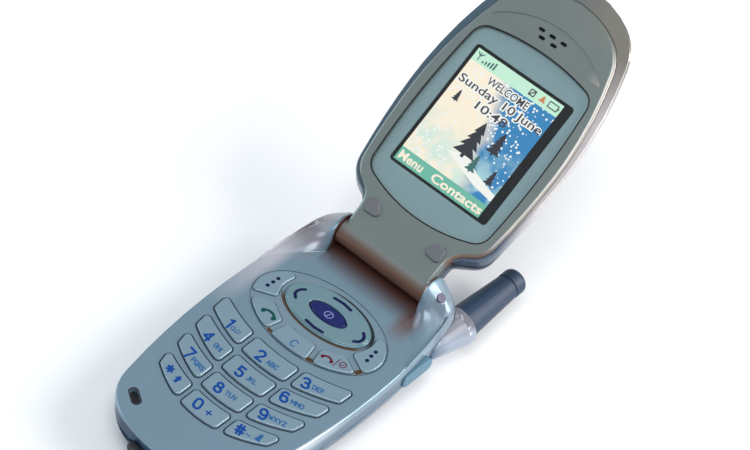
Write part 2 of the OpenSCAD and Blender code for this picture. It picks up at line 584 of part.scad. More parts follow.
module case_screws() color([0.6, 0.6, 0.62]) in_base() both_sides() for (p = screws) translate([p[0], p[1], 0]) difference() {
    union() {
        translate([0, 0, head_top - 0.6]) cylinder(r = head_r, h = 0.6);
        translate([0, 0, head_top - eps]) cylinder(r = screw_r, h = -2.4 - head_top);
    }
    translate([-0.9, -0.15, head_top - 1]) cube([1.8, 0.3, 0.7]);
    translate([-0.15, -0.9, head_top - 1]) cube([0.3, 1.8, 0.7]);
}

// ---- hinge ------------------------------------------------------------------------------

module at_axis() in_base() translate([0, 0, hinge_rise]) children();
bush_bore = hinge_pin_r - 0.5;
module hinge_module() color([0.72, 0.73, 0.75]) at_axis() union() {
    rod_x(hinge_pin_r, 2.5, ear_x + hinge_seat - 0.1);
    rod_x(hinge_pin_r - 0.6, 1.2, 2.5 + eps);
}
module hinge_bush() color([0.5, 0.52, 0.55]) at_axis() difference() {
    rod_x(hinge_pin_r, -ear_x - hinge_seat + 0.1, -7);
    rod_x(bush_bore, -ear_x - 5, -6);
}
module hinge_flex() color([0.85, 0.55, 0.2]) at_axis() difference() {
    rod_x(bush_bore - 0.15, -ear_x - hinge_seat + 0.4, -5);
    rod_x(bush_bore - 0.45, -ear_x - 5, -4);
}
module ear_plug() color([0.6, 0.62, 0.7]) at_axis() at_plug()
    translate([0, 0, -0.9]) cylinder(r = plug_r - 0.05, h = 1);

// ---- lid --------------------------------------------------------------------------------

// Lens: an outline of four arcs, with corners
lens_mid = lens_v + lens_l / 2;
module lens_plan(grow) translate([0, lens_mid]) offset(r = 4 + grow, $fn = 40) offset(delta = -4) intersection() {
    square([lens_w, lens_l], center = true);
    translate([0, lens_l / 2 - 62]) circle(r = 62, $fn = 160);
    translate([0, 42 - lens_l / 2]) circle(r = 42, $fn = 160);
    translate([lens_w / 2 - 190, -2]) circle(r = 190, $fn = 360);
    translate([190 - lens_w / 2, -2]) circle(r = 190, $fn = 360);
}
lens_t = 1;
seat_w = -lens_t - 0.1;     // floor of the lens's seat in the inner cover
window_w = 29.2;
window_l = 33.6;
window_v = 19.2;
bumper_at = [9.65, 7.83];
bumper_corners = [[-1.55, -0.65], [0.9, -0.9], [0.9, 1.2]];   // of a bumper, inside its rounding
bumper_round = 0.85;
bumper_rise = lid_gap - 0.1;
earpiece_v = lens_v + lens_l + 3.7;
earpiece_r = 5.5;
motor_v = 14.5;
skirt_w = 0.15 - axis_to_face;   // underside of the inner cover's skirt
slot_at = [[-3.8, 0.8], [-0.6, 0.8], [2.7, 0.8], [-2.6, -0.8], [0.9, -0.8]];
inner_rings = [[skirt_w, 0], [-0.9, 0], [-0.35, 0.2], [0, 0.9]];
module lid_inner_cover() color([0.5, 0.55, 0.55]) in_lid() difference() {
    union() {
        difference() {
            loft([for (r = inner_rings) [r[0], lid_outline(r[1], 0)]]);
            slab(lid_outline(wall, barrel_r + 1.2), skirt_w - 1, -inner_plate);
        }
        translate([0, 0, -axis_to_face]) rod_x(barrel_r, -barrel_half, barrel_half);
        // screw bosses
        both_sides() translate([bumper_at[0], bumper_at[1], skirt_w]) cylinder(r = boss_r + 0.3, h = -skirt_w - 0.8);
    }
    translate([0, 0, seat_w]) linear_extrude(2) lens_plan(0.1);
    block(-display_w / 2 - loose, display_w / 2 + loose, display_v - loose, display_v + display_l + loose, -5, 0);
    // earpiece slots in their crescent
    for (p = slot_at) translate([p[0], earpiece_v + p[1], -3]) {
        block(-0.5, 0.5, -0.4, 0.4, 0, 5);
        both_sides() translate([0.5, 0, 0]) cylinder(r = 0.4, h = 5, $fn = 16);
    }
    translate([0, 0, -0.25]) linear_extrude(1) intersection() {
        translate([0, 66 - 26]) circle(r = 26, $fn = 96);
        difference() {
            translate([-16, lens_v + lens_l + 0.8]) square([32, 9]);
            translate([0, lens_v + lens_l + 0.8 - 62]) circle(r = 62, $fn = 160);
        }
    }
    // bumper seats and screws under them
    both_sides() bumper(0.05, -0.8, 1);
    both_sides() translate([bumper_at[0], bumper_at[1], -6]) cylinder(r = screw_r + 0.1, h = 5.7);
    // hinge bores from both ends, and the flex's way into the lid
    translate([0, 0, -axis_to_face]) {
        rod_x(hinge_pin_r + hinge_fit, 0.8, barrel_half + 1);
        rod_x(hinge_pin_r + hinge_fit, -barrel_half - 1, -4);
    }
}
// Rings of the outer cover: height, inset, lower end, share of the flare toward the tip, hang of the shoulders
outer_rings = [[-lid_t, 5.2, 12.5, 0, 0.5], [-lid_t + 0.35, 3.4, 10.5, 0, 1], [-lid_t + 1.5, 1.6, 7.2, 0.1, 1.9],
    [-lid_t + 3.4, 0.3, 4.9, 0.35, 2], [-3.2, -rim_w + 0.2, 3.6, 0.7, 1.3], [-2.2, -rim_w + 0.05, 3.5, 0.9, 0.6],
    [-1.2, -rim_w, 3.4, 1, 0.2], [-0.75, -rim_w + 0.25, 3.4, 0.95, 0]];
// Outline of the outer cover, spread toward its tip by share k
function flared(p, k) = let (u = max(0, (p[1] - shoulder_v) / (lid_reach - shoulder_v)))
    [p[0] * (1 + k * tip_flare / lid_half * u), p[1] + k * tip_over * u * u];
// The shoulders of the outer cover hang by drop below the inner cover's
function hung(p, drop) = [p[0], p[1] - drop * min(1, max(0, (abs(p[0]) - neck_half + 0.4) / 1.6)) *
    max(0, 1 - max(0, p[1] - shoulder_v) / 14)];
function outer_outline(d, v0, k, drop) = [for (p = lid_outline(d, v0)) hung(flared(p, k), drop)];
shell_gap = 0.06;
rim_start_v = 8.6;          // the rim beside the inner cover starts here, above the neck
module lid_outer_cover() color([0.6, 0.69, 0.75]) in_lid() difference() {
    loft([for (r = outer_rings) [r[0], outer_outline(r[1], r[2], r[3], r[4])]]);
    // pocket for the inner cover, open toward the neck, then the hollow behind it
    translate([0, 0, skirt_w - shell_gap]) linear_extrude(5) {
        polygon(lid_outline(-shell_gap, 6));
        translate([-lid_half, -8]) square([lid_w, rim_start_v + 8]);
    }
    loft([[-lid_t + wall + 0.2, lid_outline(5.2, 14)], [-lid_t + wall + 1.6, lid_outline(2.6, 11)],
          [skirt_w - 0.1, lid_outline(wall, 9)], [skirt_w + 0.6, lid_outline(wall, 9)]]);
    // window seat, screw seats
    translate([0, window_v_out, -lid_t - 1]) cylinder(d = outer_window_d + 0.1, h = 1 + 1.05, $fn = 96);
    translate([0, window_v_out, -lid_t - 1]) cylinder(d = outer_window_d - 3, h = 4);
    both_sides() translate([bumper_at[0], bumper_at[1], -5.2]) cylinder(r = screw_r + 0.05, h = 5);
}
window_v_out = 40;
module screen_lens() color([0.75, 0.85, 0.9, 0.35]) in_lid() translate([0, 0, -lens_t + 0.3])
    linear_extrude(lens_t - 0.32) lens_plan(0);
// Printed frame behind the lens, open over the display
module screen_mask() color([0.5, 0.62, 0.68]) in_lid() translate([0, 0, seat_w + 0.05]) linear_extrude(0.3) difference() {
    lens_plan(0);
    translate([0, window_v + window_l / 2]) offset(r = 1, $fn = 24) square([window_w - 2, window_l - 2], center = true);
}
module display_module() color([0.05, 0.05, 0.07]) in_lid()
    block(-display_w / 2, display_w / 2, display_v, display_v + display_l, board_w + 0.05, seat_w + 0.02);
board_w = -3.7;             // upper face of the lid's board
board_v = 10.5;             // lower end of the lid's board
module lid_board() color([0.1, 0.35, 0.2]) in_lid() difference() {
    translate([0, 0, board_w - 0.7]) linear_extrude(0.7) intersection() {
        polygon(lid_outline(2.7, 6));
        translate([-lid_half, board_v]) square([lid_w, earpiece_v - earpiece_r - 0.3 - board_v]);
    }
    both_sides() translate([bumper_at[0], bumper_at[1], -8]) cylinder(r = 2.4, h = 8);
    translate([0, motor_v, 0]) block(-7, 7, -2.6, 2.6, -9, 0);
}
module outer_window() color([0.1, 0.12, 0.16, 0.5]) in_lid() translate([0, window_v_out, -lid_t])
    cylinder(d = outer_window_d, h = 1, $fn = 96);
module outer_display() color([0.1, 0.1, 0.12]) in_lid()
    block(-8.5, 8.5, window_v_out - 8.5, window_v_out + 8.5, -lid_t + wall + 0.35, board_w - 0.75);
module earpiece() color([0.2, 0.2, 0.22]) in_lid() translate([0, earpiece_v, -4.3])
    cylinder(r = earpiece_r, h = 4.3 - inner_plate - loose);
module ringer() color([0.25, 0.25, 0.27]) in_lid() translate([0, earpiece_v - 1, -lid_t + wall + 0.6])
    cylinder(r = 7, h = 3);
module vibration_motor() color([0.7, 0.7, 0.72]) in_lid() translate([0, motor_v, -5.2]) {
    rod_x(2, -5.5, 3);
    rod_x(0.5, 3 - eps, 4 + eps);
    intersection() {
        rod_x(1.8, 4, 6.5);
        block(3, 8, -3, 3, -3, 0.6);
    }
}
module lid_magnet() color([0.4, 0.4, 0.42]) in_lid()
    block(12, 15, earpiece_v - 4.1, earpiece_v - 0.3, -3.3, -inner_plate - 0.05);
module bumper(grow, w0, w1) translate([bumper_at[0], bumper_at[1], w0]) linear_extrude(w1 - w0)
    offset(r = bumper_round + grow, $fn = 32) polygon(bumper_corners);
module lid_bumpers() color([0.5, 0.5, 0.53]) in_lid() both_sides() {
    bumper(0, -0.75, bumper_rise - 0.2);
    bumper(-0.2, bumper_rise - 0.2 - eps, bumper_rise);
}
module lid_screws() color([0.6, 0.6, 0.62]) in_lid() both_sides() translate([bumper_at[0], bumper_at[1], 0])
    translate([0, 0, -4.6]) cylinder(r = screw_r, h = 3.8);

front_cover();
rear_cover();
battery_pack();
battery_latch();
key_1();
key_2();
key_3();
key_4();
key_5();
key_6();
key_7();
key_8();
key_9();
key_star();
key_0();
key_hash();
nav_ring();
nav_actuator();
centre_key();
soft_key_left();
soft_key_right();
send_key();
clear_key();
end_key();
keypad_mat();
dome_sheet();
main_board();
shield_cans();
sim_holder();
battery_contacts();
io_connector();
io_cover();
microphone();
antenna_sleeve();
antenna_cap();
antenna_core();
volume_key();
headset_jack();
jack_cover();
case_screws();
hinge_module();
hinge_bush();
hinge_flex();
ear_plug();
lid_inner_cover();
lid_outer_cover();
screen_lens();
screen_mask();
display_module();
outer_window();
outer_display();
lid_board();
earpiece();
ringer();
vibration_motor();
lid_magnet();
lid_bumpers();
lid_screws();
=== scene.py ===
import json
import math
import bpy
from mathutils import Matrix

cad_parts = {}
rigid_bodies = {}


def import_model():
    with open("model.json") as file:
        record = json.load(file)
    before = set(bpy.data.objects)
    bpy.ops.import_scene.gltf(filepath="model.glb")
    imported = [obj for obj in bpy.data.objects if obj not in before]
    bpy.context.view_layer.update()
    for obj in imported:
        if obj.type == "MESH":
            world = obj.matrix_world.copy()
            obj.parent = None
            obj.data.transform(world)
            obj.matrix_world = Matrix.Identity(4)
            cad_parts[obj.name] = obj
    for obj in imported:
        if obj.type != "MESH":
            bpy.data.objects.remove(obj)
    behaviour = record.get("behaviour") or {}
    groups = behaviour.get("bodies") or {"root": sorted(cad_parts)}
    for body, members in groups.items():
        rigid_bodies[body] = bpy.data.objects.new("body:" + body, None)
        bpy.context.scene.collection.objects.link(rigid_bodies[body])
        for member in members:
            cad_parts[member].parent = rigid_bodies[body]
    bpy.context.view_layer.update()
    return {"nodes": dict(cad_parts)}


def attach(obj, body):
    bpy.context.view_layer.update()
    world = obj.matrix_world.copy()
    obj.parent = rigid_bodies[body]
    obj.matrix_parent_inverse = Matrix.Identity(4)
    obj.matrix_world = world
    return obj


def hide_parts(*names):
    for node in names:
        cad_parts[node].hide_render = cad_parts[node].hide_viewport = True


bl_info = {
    "name": "Flip Phone Dresser",
    "version": (1, 0, 0),
    "blender": (4, 5, 0),
    "location": "3D View > Sidebar > Phone",
    "description": "Gives the folding phone's frame its finished surfaces, legends, screen and stage",
    "category": "Object",
}

import bmesh
import bpy
from mathutils import Matrix, Vector
from mathutils.geometry import delaunay_2d_cdt

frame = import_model()

# ---- the two working frames, in millimetres ----

MM = 0.001
HINGE_Y = 34.0          # origin to hinge axis
BASE_T = 12.4           # resting face to keypad face
RISE = 3.6              # keypad face to hinge axis
LID_GAP = 0.8           # keypad face to lid, closed
OPEN = 147.4            # degrees between base and lid
LEAN_BACK = math.radians(180 - OPEN)
AXIS_TO_FACE = RISE - LID_GAP
# x to the right, y from the hinge axis, z from the keypad face
BASE = Matrix.Translation((0, HINGE_Y * MM, BASE_T * MM)) @ Matrix.Scale(MM, 4)
# x to the right, y up the lid from the hinge axis, z out of its inner face
LID = (Matrix.Translation((0, HINGE_Y * MM, (BASE_T + RISE) * MM))
       @ Matrix.Rotation(LEAN_BACK, 4, "X")
       @ Matrix.Translation((0, 0, AXIS_TO_FACE * MM)) @ Matrix.Scale(MM, 4))

# ---- sizes shared by several pieces, in millimetres ----

WELD = 0.002            # corners of a node's mesh that are closer are one
SEAM = 0.0005           # the same on a drawn plate
FLAT = 0.6              # degrees between faces that count as one flat face
NEAR = 0.01             # play when a face or edge is found by its height
PRINT = 0.02            # thickness of a printed mark
PRINT_SUNK = 0.006      # how deep a mark reaches into its key
KEY_RISE = 0.45         # key tops over the keypad face
KEY_STEP = KEY_RISE - 0.2       # top of the step under their crowns
# ovals round the function keys: distance from the hinge, width and length
ISLAND = (22.3, 37.0, 22.0)
RING = (19.2, 23.8, 12.5)


def srgb(chip):
    """Linear colour from the 0 to 255 red, green and blue of a colour chip."""
    def lin(c):
        c /= 255
        return c / 12.92 if c <= 0.04045 else ((c + 0.055) / 1.055) ** 2.4
    return (*map(lin, chip), 1.0)


# ---- modelling helpers ----

def deselect():
    for o in bpy.context.view_layer.objects:
        o.select_set(False)


def only(obj):
    """Selects one object alone and makes it the active one."""
    deselect()
    obj.select_set(True)
    bpy.context.view_layer.objects.active = obj


class Edit:
    """Edit mode on one object, with nothing selected at the start, or all of it."""

    def __init__(self, obj, mode, start="DESELECT"):
        self.obj, self.mode, self.start = obj, mode, start

    def __enter__(self):
        only(self.obj)
        bpy.ops.object.mode_set(mode="EDIT")
        bpy.ops.mesh.select_mode(type=self.mode)
        bpy.ops.mesh.select_all(action=self.start)
        return self

    def __exit__(self, *_):
        bpy.ops.object.mode_set(mode="OBJECT")

    def pick(self, test):
        """Selects the verts, edges or faces that pass the test, and says how many."""
        bm = bmesh.from_edit_mesh(self.obj.data)
        bm.normal_update()
        items = {"VERT": bm.verts, "EDGE": bm.edges, "FACE": bm.faces}[self.mode]
        hits = [i for i in items if test(i)]
        for i in hits:
            i.select_set(True)
        bmesh.update_edit_mesh(self.obj.data, loop_triangles=False, destructive=False)
        return len(hits)

    def drop(self, test):
        """Deletes the verts, edges or faces that pass the test."""
        self.pick(test)
        bpy.ops.mesh.delete(type=self.mode)


def middle(item):
    """The middle of a face or an edge."""
    if isinstance(item, bmesh.types.BMFace):
        return item.calc_center_median()
    return (item.verts[0].co + item.verts[1].co) / 2


def corner(edge, least):
    """True on an edge between two faces that meet at more than the least angle, outwards."""
    return (len(edge.link_faces) == 2 and edge.calc_face_angle(0) > math.radians(least)
            and edge.is_convex)


def bevel(width, segments, clamp=False):
    """Rounds the selected edges."""
    bpy.ops.mesh.bevel(offset=width, offset_type="OFFSET", segments=segments, profile=0.5,
                       clamp_overlap=clamp)


def take(node, place):
    """A copy of a node's mesh in the millimetres of its frame, welded, with flat faces made whole."""
    mesh = bpy.data.meshes.new(node + "_skin")
    bm = bmesh.new()        # carries the shape across without the node's materials
    bm.from_mesh(frame["nodes"][node].data)
    bm.to_mesh(mesh)
    bm.free()
    mesh.transform(place.inverted())
    copy = bpy.data.objects.new(node + "_skin", mesh)
    bpy.context.scene.collection.objects.link(copy)
    with Edit(copy, "VERT", "SELECT"):
        bpy.ops.mesh.remove_doubles(threshold=WELD)
        bpy.ops.mesh.dissolve_limited(angle_limit=math.radians(FLAT))
    return copy


def soften(obj, angle=38):
    """Smooth curves, with the large faces left flat."""
    only(obj)
    bpy.ops.object.shade_smooth_by_angle(angle=math.radians(angle))
    bpy.ops.object.modifier_add(type="WEIGHTED_NORMAL")
    weighted = obj.modifiers[-1]
    weighted.keep_sharp, weighted.weight = True, 60
    bpy.ops.object.modifier_apply(modifier=weighted.name)


def paint(obj, material):
    """Gives a piece one material and no other."""
    obj.data.materials.clear()
    obj.data.materials.append(material)


def settle(obj, place, name, body, finish=None, node=None):
    """Gives a piece its finish, place, name and body, and hides the node it stands for."""
    if finish:
        paint(obj, FINISH[finish])
    obj.data.transform(place)
    obj.matrix_world = Matrix.Identity(4)
    obj.name = obj.data.name = name
    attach(obj, body)
    if node:
        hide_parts(node)


def close_up(obj):
    """Merges doubled corners and turns all faces outwards."""
    with Edit(obj, "VERT", "SELECT"):
        bpy.ops.mesh.remove_doubles(threshold=SEAM)
        bpy.ops.mesh.normals_make_consistent(inside=False)


def flat_piece(outlines, low=0.0, high=PRINT):
    """A plate between two heights, from closed outlines: the first is filled, the others cut out."""
    bpy.ops.curve.primitive_bezier_circle_add(radius=1)
    data = bpy.context.active_object.data
    data.splines.clear()
    for points in outlines:
        s = data.splines.new("POLY")
        s.points.add(len(points) - 1)
        for p, q in zip(s.points, points):
            p.co = (q[0], q[1], 0, 1)
        s.use_cyclic_u = True
    data.dimensions = "2D"
    data.fill_mode = "BOTH"
    data.extrude = (high - low) / 2
    only(bpy.context.active_object)
    bpy.ops.object.convert(target="MESH")
    obj = bpy.context.active_object
    obj.data.transform(Matrix.Translation((0, 0, (high + low) / 2)) @ obj.matrix_world)
    obj.matrix_world = Matrix.Identity(4)
    close_up(obj)
    return obj


def join(objs):
    """Makes one object of several."""
    deselect()
    for o in objs:
        o.select_set(True)
    bpy.context.view_layer.objects.active = objs[0]
    bpy.ops.object.join()
    return objs[0]


# ---- outlines and lines ----

def arc_points(cx, cy, rx, ry, a0, a1, n=10):
    """Points on an arc of an oval between two angles in degrees."""
    return [(cx + rx * math.cos(math.radians(a0 + (a1 - a0) * i / n)),
             cy + ry * math.sin(math.radians(a0 + (a1 - a0) * i / n))) for i in range(n + 1)]


def box_outline(x0, x1, y0, y1):
    return [(x0, y0), (x1, y0), (x1, y1), (x0, y1)]


def box_line(x0, x1, y0, y1):
    """The pen's way round a box."""
    return box_outline(x0, x1, y0, y1) + [(x0, y0)]


def rounded_outline(corners, r):
    """Outline at a distance round a convex polygon given anticlockwise."""
    steps = 6
    out = []
    for i, p in enumerate(corners):
        a, b = corners[i - 1], corners[(i + 1) % len(corners)]
        start = math.atan2(p[1] - a[1], p[0] - a[0]) - math.pi / 2
        sweep = (math.atan2(b[1] - p[1], b[0] - p[0]) - math.pi / 2 - start) % (2 * math.pi)
        turns = [start + sweep * k / steps for k in range(steps + 1)]
        out += [(p[0] + r * math.cos(t), p[1] + r * math.sin(t)) for t in turns]
    return out


def shifted(outline, by):
    """A closed anticlockwise outline moved outwards."""
    out = []
    for i, p in enumerate(outline):
        a, b = outline[i - 1], outline[(i + 1) % len(outline)]
        d = Vector((b[0] - a[0], b[1] - a[1])).normalized()
        out.append((p[0] + d.y * by, p[1] - d.x * by))
    return out


def top_outline(node, place):
    """Outline of the largest face on top of a node."""
    obj = take(node, place)
    face = max((f for f in obj.data.polygons if f.normal.z > 0.99), key=lambda f: f.area)
    points = [tuple(obj.data.vertices[i].co[:2]) for i in face.vertices]
    bpy.data.objects.remove(obj)
    return points


def ribbon(points, width, low, high):
    """A flat strip of constant width along the points, as a thin plate."""
    left, right = [], []
    for i, p in enumerate(points):
        a, b = points[max(i - 1, 0)], points[min(i + 1, len(points) - 1)]
        d = Vector((b[0] - a[0], b[1] - a[1])).normalized()
        left.append((p[0] - d.y * width / 2, p[1] + d.x * width / 2))
        right.append((p[0] + d.y * width / 2, p[1] - d.x * width / 2))
    return flat_piece([left + right[::-1]], low, high)


def disc(x, y, r):
    """A round printed dot of 20 sides."""
    return flat_piece([arc_points(x, y, r, r, 0, 360, 20)[:-1]])


def pen(lines, width, low=0.0, high=PRINT):
    """Lines drawn with a round pen, merged into one thin plate."""
    points, areas = [], []
    for line in lines:
        for a, b in zip(line, line[1:]):
            way = math.atan2(b[1] - a[1], b[0] - a[0])
            start = len(points)
            for end, turn in ((b, way - math.pi / 2), (a, way + math.pi / 2)):
                turns = [turn + math.pi * i / 6 for i in range(7)]
                points += [Vector((end[0] + width / 2 * math.cos(t), end[1] + width / 2 * math.sin(t)))
                           for t in turns]
            areas.append(list(range(start, len(points))))
    spots, _, faces, _, _, sources = delaunay_2d_cdt(points, [], areas, 0, SEAM)
    mesh = bpy.data.meshes.new("pen_marks")
    mesh.from_pydata([(p.x, p.y, high) for p in spots], [], [f for f, area in zip(faces, sources) if area])
    obj = bpy.data.objects.new("pen_marks", mesh)
    bpy.context.scene.collection.objects.link(obj)
    with Edit(obj, "VERT") as e:
        e.drop(lambda v: not v.link_faces)
        bpy.ops.mesh.select_all(action="SELECT")
        bpy.ops.mesh.extrude_region_move(TRANSFORM_OT_translate={"value": (0, 0, low - high)})
        bpy.ops.mesh.select_all(action="SELECT")
        bpy.ops.mesh.normals_make_consistent(inside=False)
    return obj


def glyph_lines(text, x, y, height, turn=0.0, lean=0.0):
    """The pen lines of a text centred on a point. Glyphs stand on a grid of 4 by 6."""
    unit, gap = height / 6, 1.6
    ca, sa = math.cos(math.radians(turn)), math.sin(math.radians(turn))
    glyphs = [[[tuple(map(float, p.split(","))) for p in line.split()] for line in GLYPHS[c]] for c in text]
    wide = [max(p[0] for line in g for p in line) for g in glyphs]
    at = -(sum(wide) + gap * (len(text) - 1)) / 2
    lines = []
    for g, w in zip(glyphs, wide):
        flat = [[(unit * (at + u - lean * (v - 3)), unit * (v - 3)) for u, v in line] for line in g]
        lines += [[(x + ca * u - sa * v, y + sa * u + ca * v) for u, v in line] for line in flat]
        at += w + gap
    return lines


def words(text, x, y, height, span, bold, low, high):
    """Lettering centred on a point and stretched to a width, as a thin plate."""
    capital = 0.7       # height of a capital in type of size 1
    bpy.ops.object.text_add()
    data = bpy.context.active_object.data
    data.body, data.align_x, data.align_y = text, "CENTER", "CENTER"
    data.size, data.offset, data.resolution_u = height / capital, bold, 3
    data.extrude = (high - low) / 2
    only(bpy.context.active_object)
    bpy.ops.object.convert(target="MESH")
    obj = bpy.context.active_object
    across, up = ([v.co[i] for v in obj.data.vertices] for i in (0, 1))
    wide = span / (max(across) - min(across))
    centre = ((max(across) + min(across)) / 2, (max(up) + min(up)) / 2)
    obj.data.transform(Matrix.Translation((x, y, (low + high) / 2)) @ Matrix.Diagonal((wide, 1, 1, 1))
                       @ Matrix.Translation((-centre[0], -centre[1], 0)))
    close_up(obj)
    return obj


# ---- finishes ----

class Wire:
    """A socket on which arithmetic adds Math nodes."""

    def __init__(self, finish, socket):
        self.finish, self.socket = finish, socket

    def _op(self, name, *others):
        return self.finish.math(name, self, *others)

    def __add__(self, other):
        return self._op("ADD", other)

    __radd__ = __add__

    def __sub__(self, other):
        return self._op("SUBTRACT", other)

    def __rsub__(self, other):
        return self.finish.math("SUBTRACT", other, self)

    def __mul__(self, other):
        return self._op("MULTIPLY", other)

    __rmul__ = __mul__

    def __pow__(self, power):
        return self._op("POWER", power)

    def __neg__(self):
        return 0 - self

    def __abs__(self):
        return self._op("ABSOLUTE")

    def above(self, limit):
        """1 over the limit, 0 under it."""
        return self._op("GREATER_THAN", limit)

    def below(self, limit):
        """1 under the limit, 0 over it."""
        return self._op("LESS_THAN", limit)

    def ramp(self, a, b):
        """0 at a, 1 at b, straight between them and level beyond."""
        return self.finish.node("ShaderNodeClamp", {}, {0: (self - a) * (1 / (b - a))})


class Finish:
    """One material, with the surface shader and a way to add any other node."""

    def __init__(self, name, **surface):
        self.mat = bpy.data.materials.new(name)
        self.mat.use_nodes = True
        self.tree = self.mat.node_tree
        self.tree.nodes.clear()
        out = self.tree.nodes.new("ShaderNodeOutputMaterial")
        self.shader = self.tree.nodes.new("ShaderNodeBsdfPrincipled")
        self.tree.links.new(self.shader.outputs[0], out.inputs[0])
        self.coords = None
        self.set(**surface)

    def _feed(self, socket, value):
        if isinstance(value, Wire):
            self.tree.links.new(value.socket, socket)
        else:
            socket.default_value = value

    def node(self, kind, settings, inputs, out=0):
        n = self.tree.nodes.new(kind)
        for k, v in settings.items():
            setattr(n, k, v)
        for k, v in inputs.items():
            self._feed(n.inputs[k], v)
        return Wire(self, n.outputs[out])

    def math(self, operation, *values):
        return self.node("ShaderNodeMath", {"operation": operation}, dict(enumerate(values)))

    def set(self, **surface):
        """Sets or wires sockets of the surface shader; an underscore stands for a space."""
        for k, v in surface.items():
            self._feed(self.shader.inputs[k.replace("_", " ")], v)

    def place(self):
        if self.coords is None:
            self.coords = self.node("ShaderNodeTexCoord", {}, {}, out="Object")
        return self.coords

    def axis_mm(self, i):
        return self.node("ShaderNodeSeparateXYZ", {}, {0: self.place()}, out=i) * 1000

    def noise(self, scale, detail):
        """Noise round 0.5; the scale is per metre."""
        return self.node("ShaderNodeTexNoise", {},
                         {"Vector": self.place(), "Scale": scale, "Detail": detail, "Roughness": 0.5})

    def mix(self, factor, a, b):
        return self.node("ShaderNodeMix", {"data_type": "RGBA"}, {0: factor, 6: a, 7: b}, out=2)

    def bump(self, height, distance, strength):
        return self.node("ShaderNodeBump", {},
                         {"Strength": strength, "Distance": distance, "Height": height})

    def clouded(self, colour, drift, pattern):
        """A colour that drifts a little darker and lighter with a pattern."""
        return self.mix(pattern, shade(colour, 1 - drift), shade(colour, 1 + drift))

    def base_mm(self):
        """x, y and z of the base's frame in millimetres."""
        return self.axis_mm(0), self.axis_mm(1) - HINGE_Y, self.axis_mm(2) - BASE_T

    def hinge_mm(self):
        """y and z from the hinge axis in millimetres."""
        return self.axis_mm(1) - HINGE_Y, self.axis_mm(2) - (BASE_T + RISE)

    def lid_mm(self):
        """x, the way up the lid and the height over its inner face, in millimetres."""
        y, z = self.hinge_mm()
        c, s = math.cos(LEAN_BACK), math.sin(LEAN_BACK)
        return self.axis_mm(0), y * c + z * s, z * c - y * s - AXIS_TO_FACE


def shade(colour, k):
    return (*(min(c * k, 1) for c in colour[:3]), 1.0)


def lacquer(name, chip, metallic=0.4, rough=0.34, coat=0.4, flake=0.06, drift=0.05, tints=None,
            bare=None):
    """Sprayed metallic lacquer: fine flake, faint clouding and handling marks under a clear coat.
    The tints are areas painted another colour, many of them painted shade, shadow, reflection and
    highlight; each is a mask and a colour chip.
    The bare area is fully metallic and has no clear coat."""
    colour = srgb(chip)
    f = Finish(name, Metallic=metallic, Coat_Weight=coat, Coat_Roughness=0.12, IOR=1.5)
    if bare:
        area = bare(f)
        f.set(Metallic=metallic + (1 - metallic) * area, Coat_Weight=coat * (1 - area))
    clouds, flakes, wear, ripple = f.noise(45, 3), f.noise(5200, 1), f.noise(160, 4), f.noise(900, 2)
    tone = f.clouded(colour, drift, clouds)
    for area, tint in tints(f) if tints else ():
        tone = f.mix(area, tone, srgb(tint))
    f.set(Base_Color=f.mix((flakes - 0.5) * flake + 0.5 * flake, tone, shade(colour, 1.7)),
          Roughness=rough + 0.10 * (wear - 0.5) + 0.10 * (flakes - 0.5),
          Normal=f.bump(ripple, 0.000004, 0.6))
    return f.mat


def plastic(name, chip, rough=0.45, coat=0.0, grain=2600, depth=0.000006, drift=0.08):
    """Moulded plastic or rubber with a fine spark-eroded grain."""
    f = Finish(name, Coat_Weight=coat, Coat_Roughness=0.15, IOR=1.48)
    f.set(Base_Color=f.clouded(srgb(chip), drift, f.noise(120, 3)),
          Roughness=rough + 0.14 * (f.noise(420, 3) - 0.5),
          Normal=f.bump(f.noise(grain, 3), depth, 0.7))
    return f.mat


def metal(name, chip, rough):
    f = Finish(name, Metallic=1.0)
    f.set(Base_Color=f.clouded(srgb(chip), 0.05, f.noise(300, 3)),
          Roughness=rough + 0.15 * (f.noise(900, 3) - 0.5))
    return f.mat


def ink(name, chip, rough=0.4):
    f = Finish(name, Specular_IOR_Level=0.25)
    f.set(Base_Color=f.clouded(srgb(chip), 0.1, f.noise(3000, 2)),
          Roughness=rough + 0.1 * (f.noise(1500, 2) - 0.5))
    return f.mat


def lit(name):
    """An area of the display that gives its own light."""
    return Finish(name, Roughness=0.3, Base_Color=(0.01, 0.01, 0.01, 1), Emission_Strength=1.0)


def glow(name, chip):
    """A lit area of one colour, with the faint grid of the display's cells."""
    f = lit(name)
    f.set(Emission_Color=f.clouded(srgb(chip), 0.07, f.noise(5000, 1)))
    return f.mat


def acrylic(name):
    """Clear acrylic, a little scratched."""
    f = Finish(name, Base_Color=(0.2, 0.24, 0.26, 1), IOR=1.45, Specular_IOR_Level=0.2, Alpha=0.03,
               Coat_Weight=0.0, Coat_Roughness=0.03)
    f.set(Roughness=0.05 + 0.03 * f.noise(200, 3))
    return f.mat


# ---- tints of the lacquer, most of them painted light and shade, with their limits in millimetres ----

def oval_field(x, y, oval):
    """1 on the oval's outline, less inside."""
    from_hinge, width, length = oval
    a, b = x * (2 / width), (y + from_hinge) * (2 / length)
    return (a * a + b * b) ** 0.5


def end_wall(f):
    """The wall at the keypad's end, below its crisp edge."""
    _, y, z = f.base_mm()
    return (-y).ramp(69.0, 72.0) * z.ramp(-0.7, -1.3)


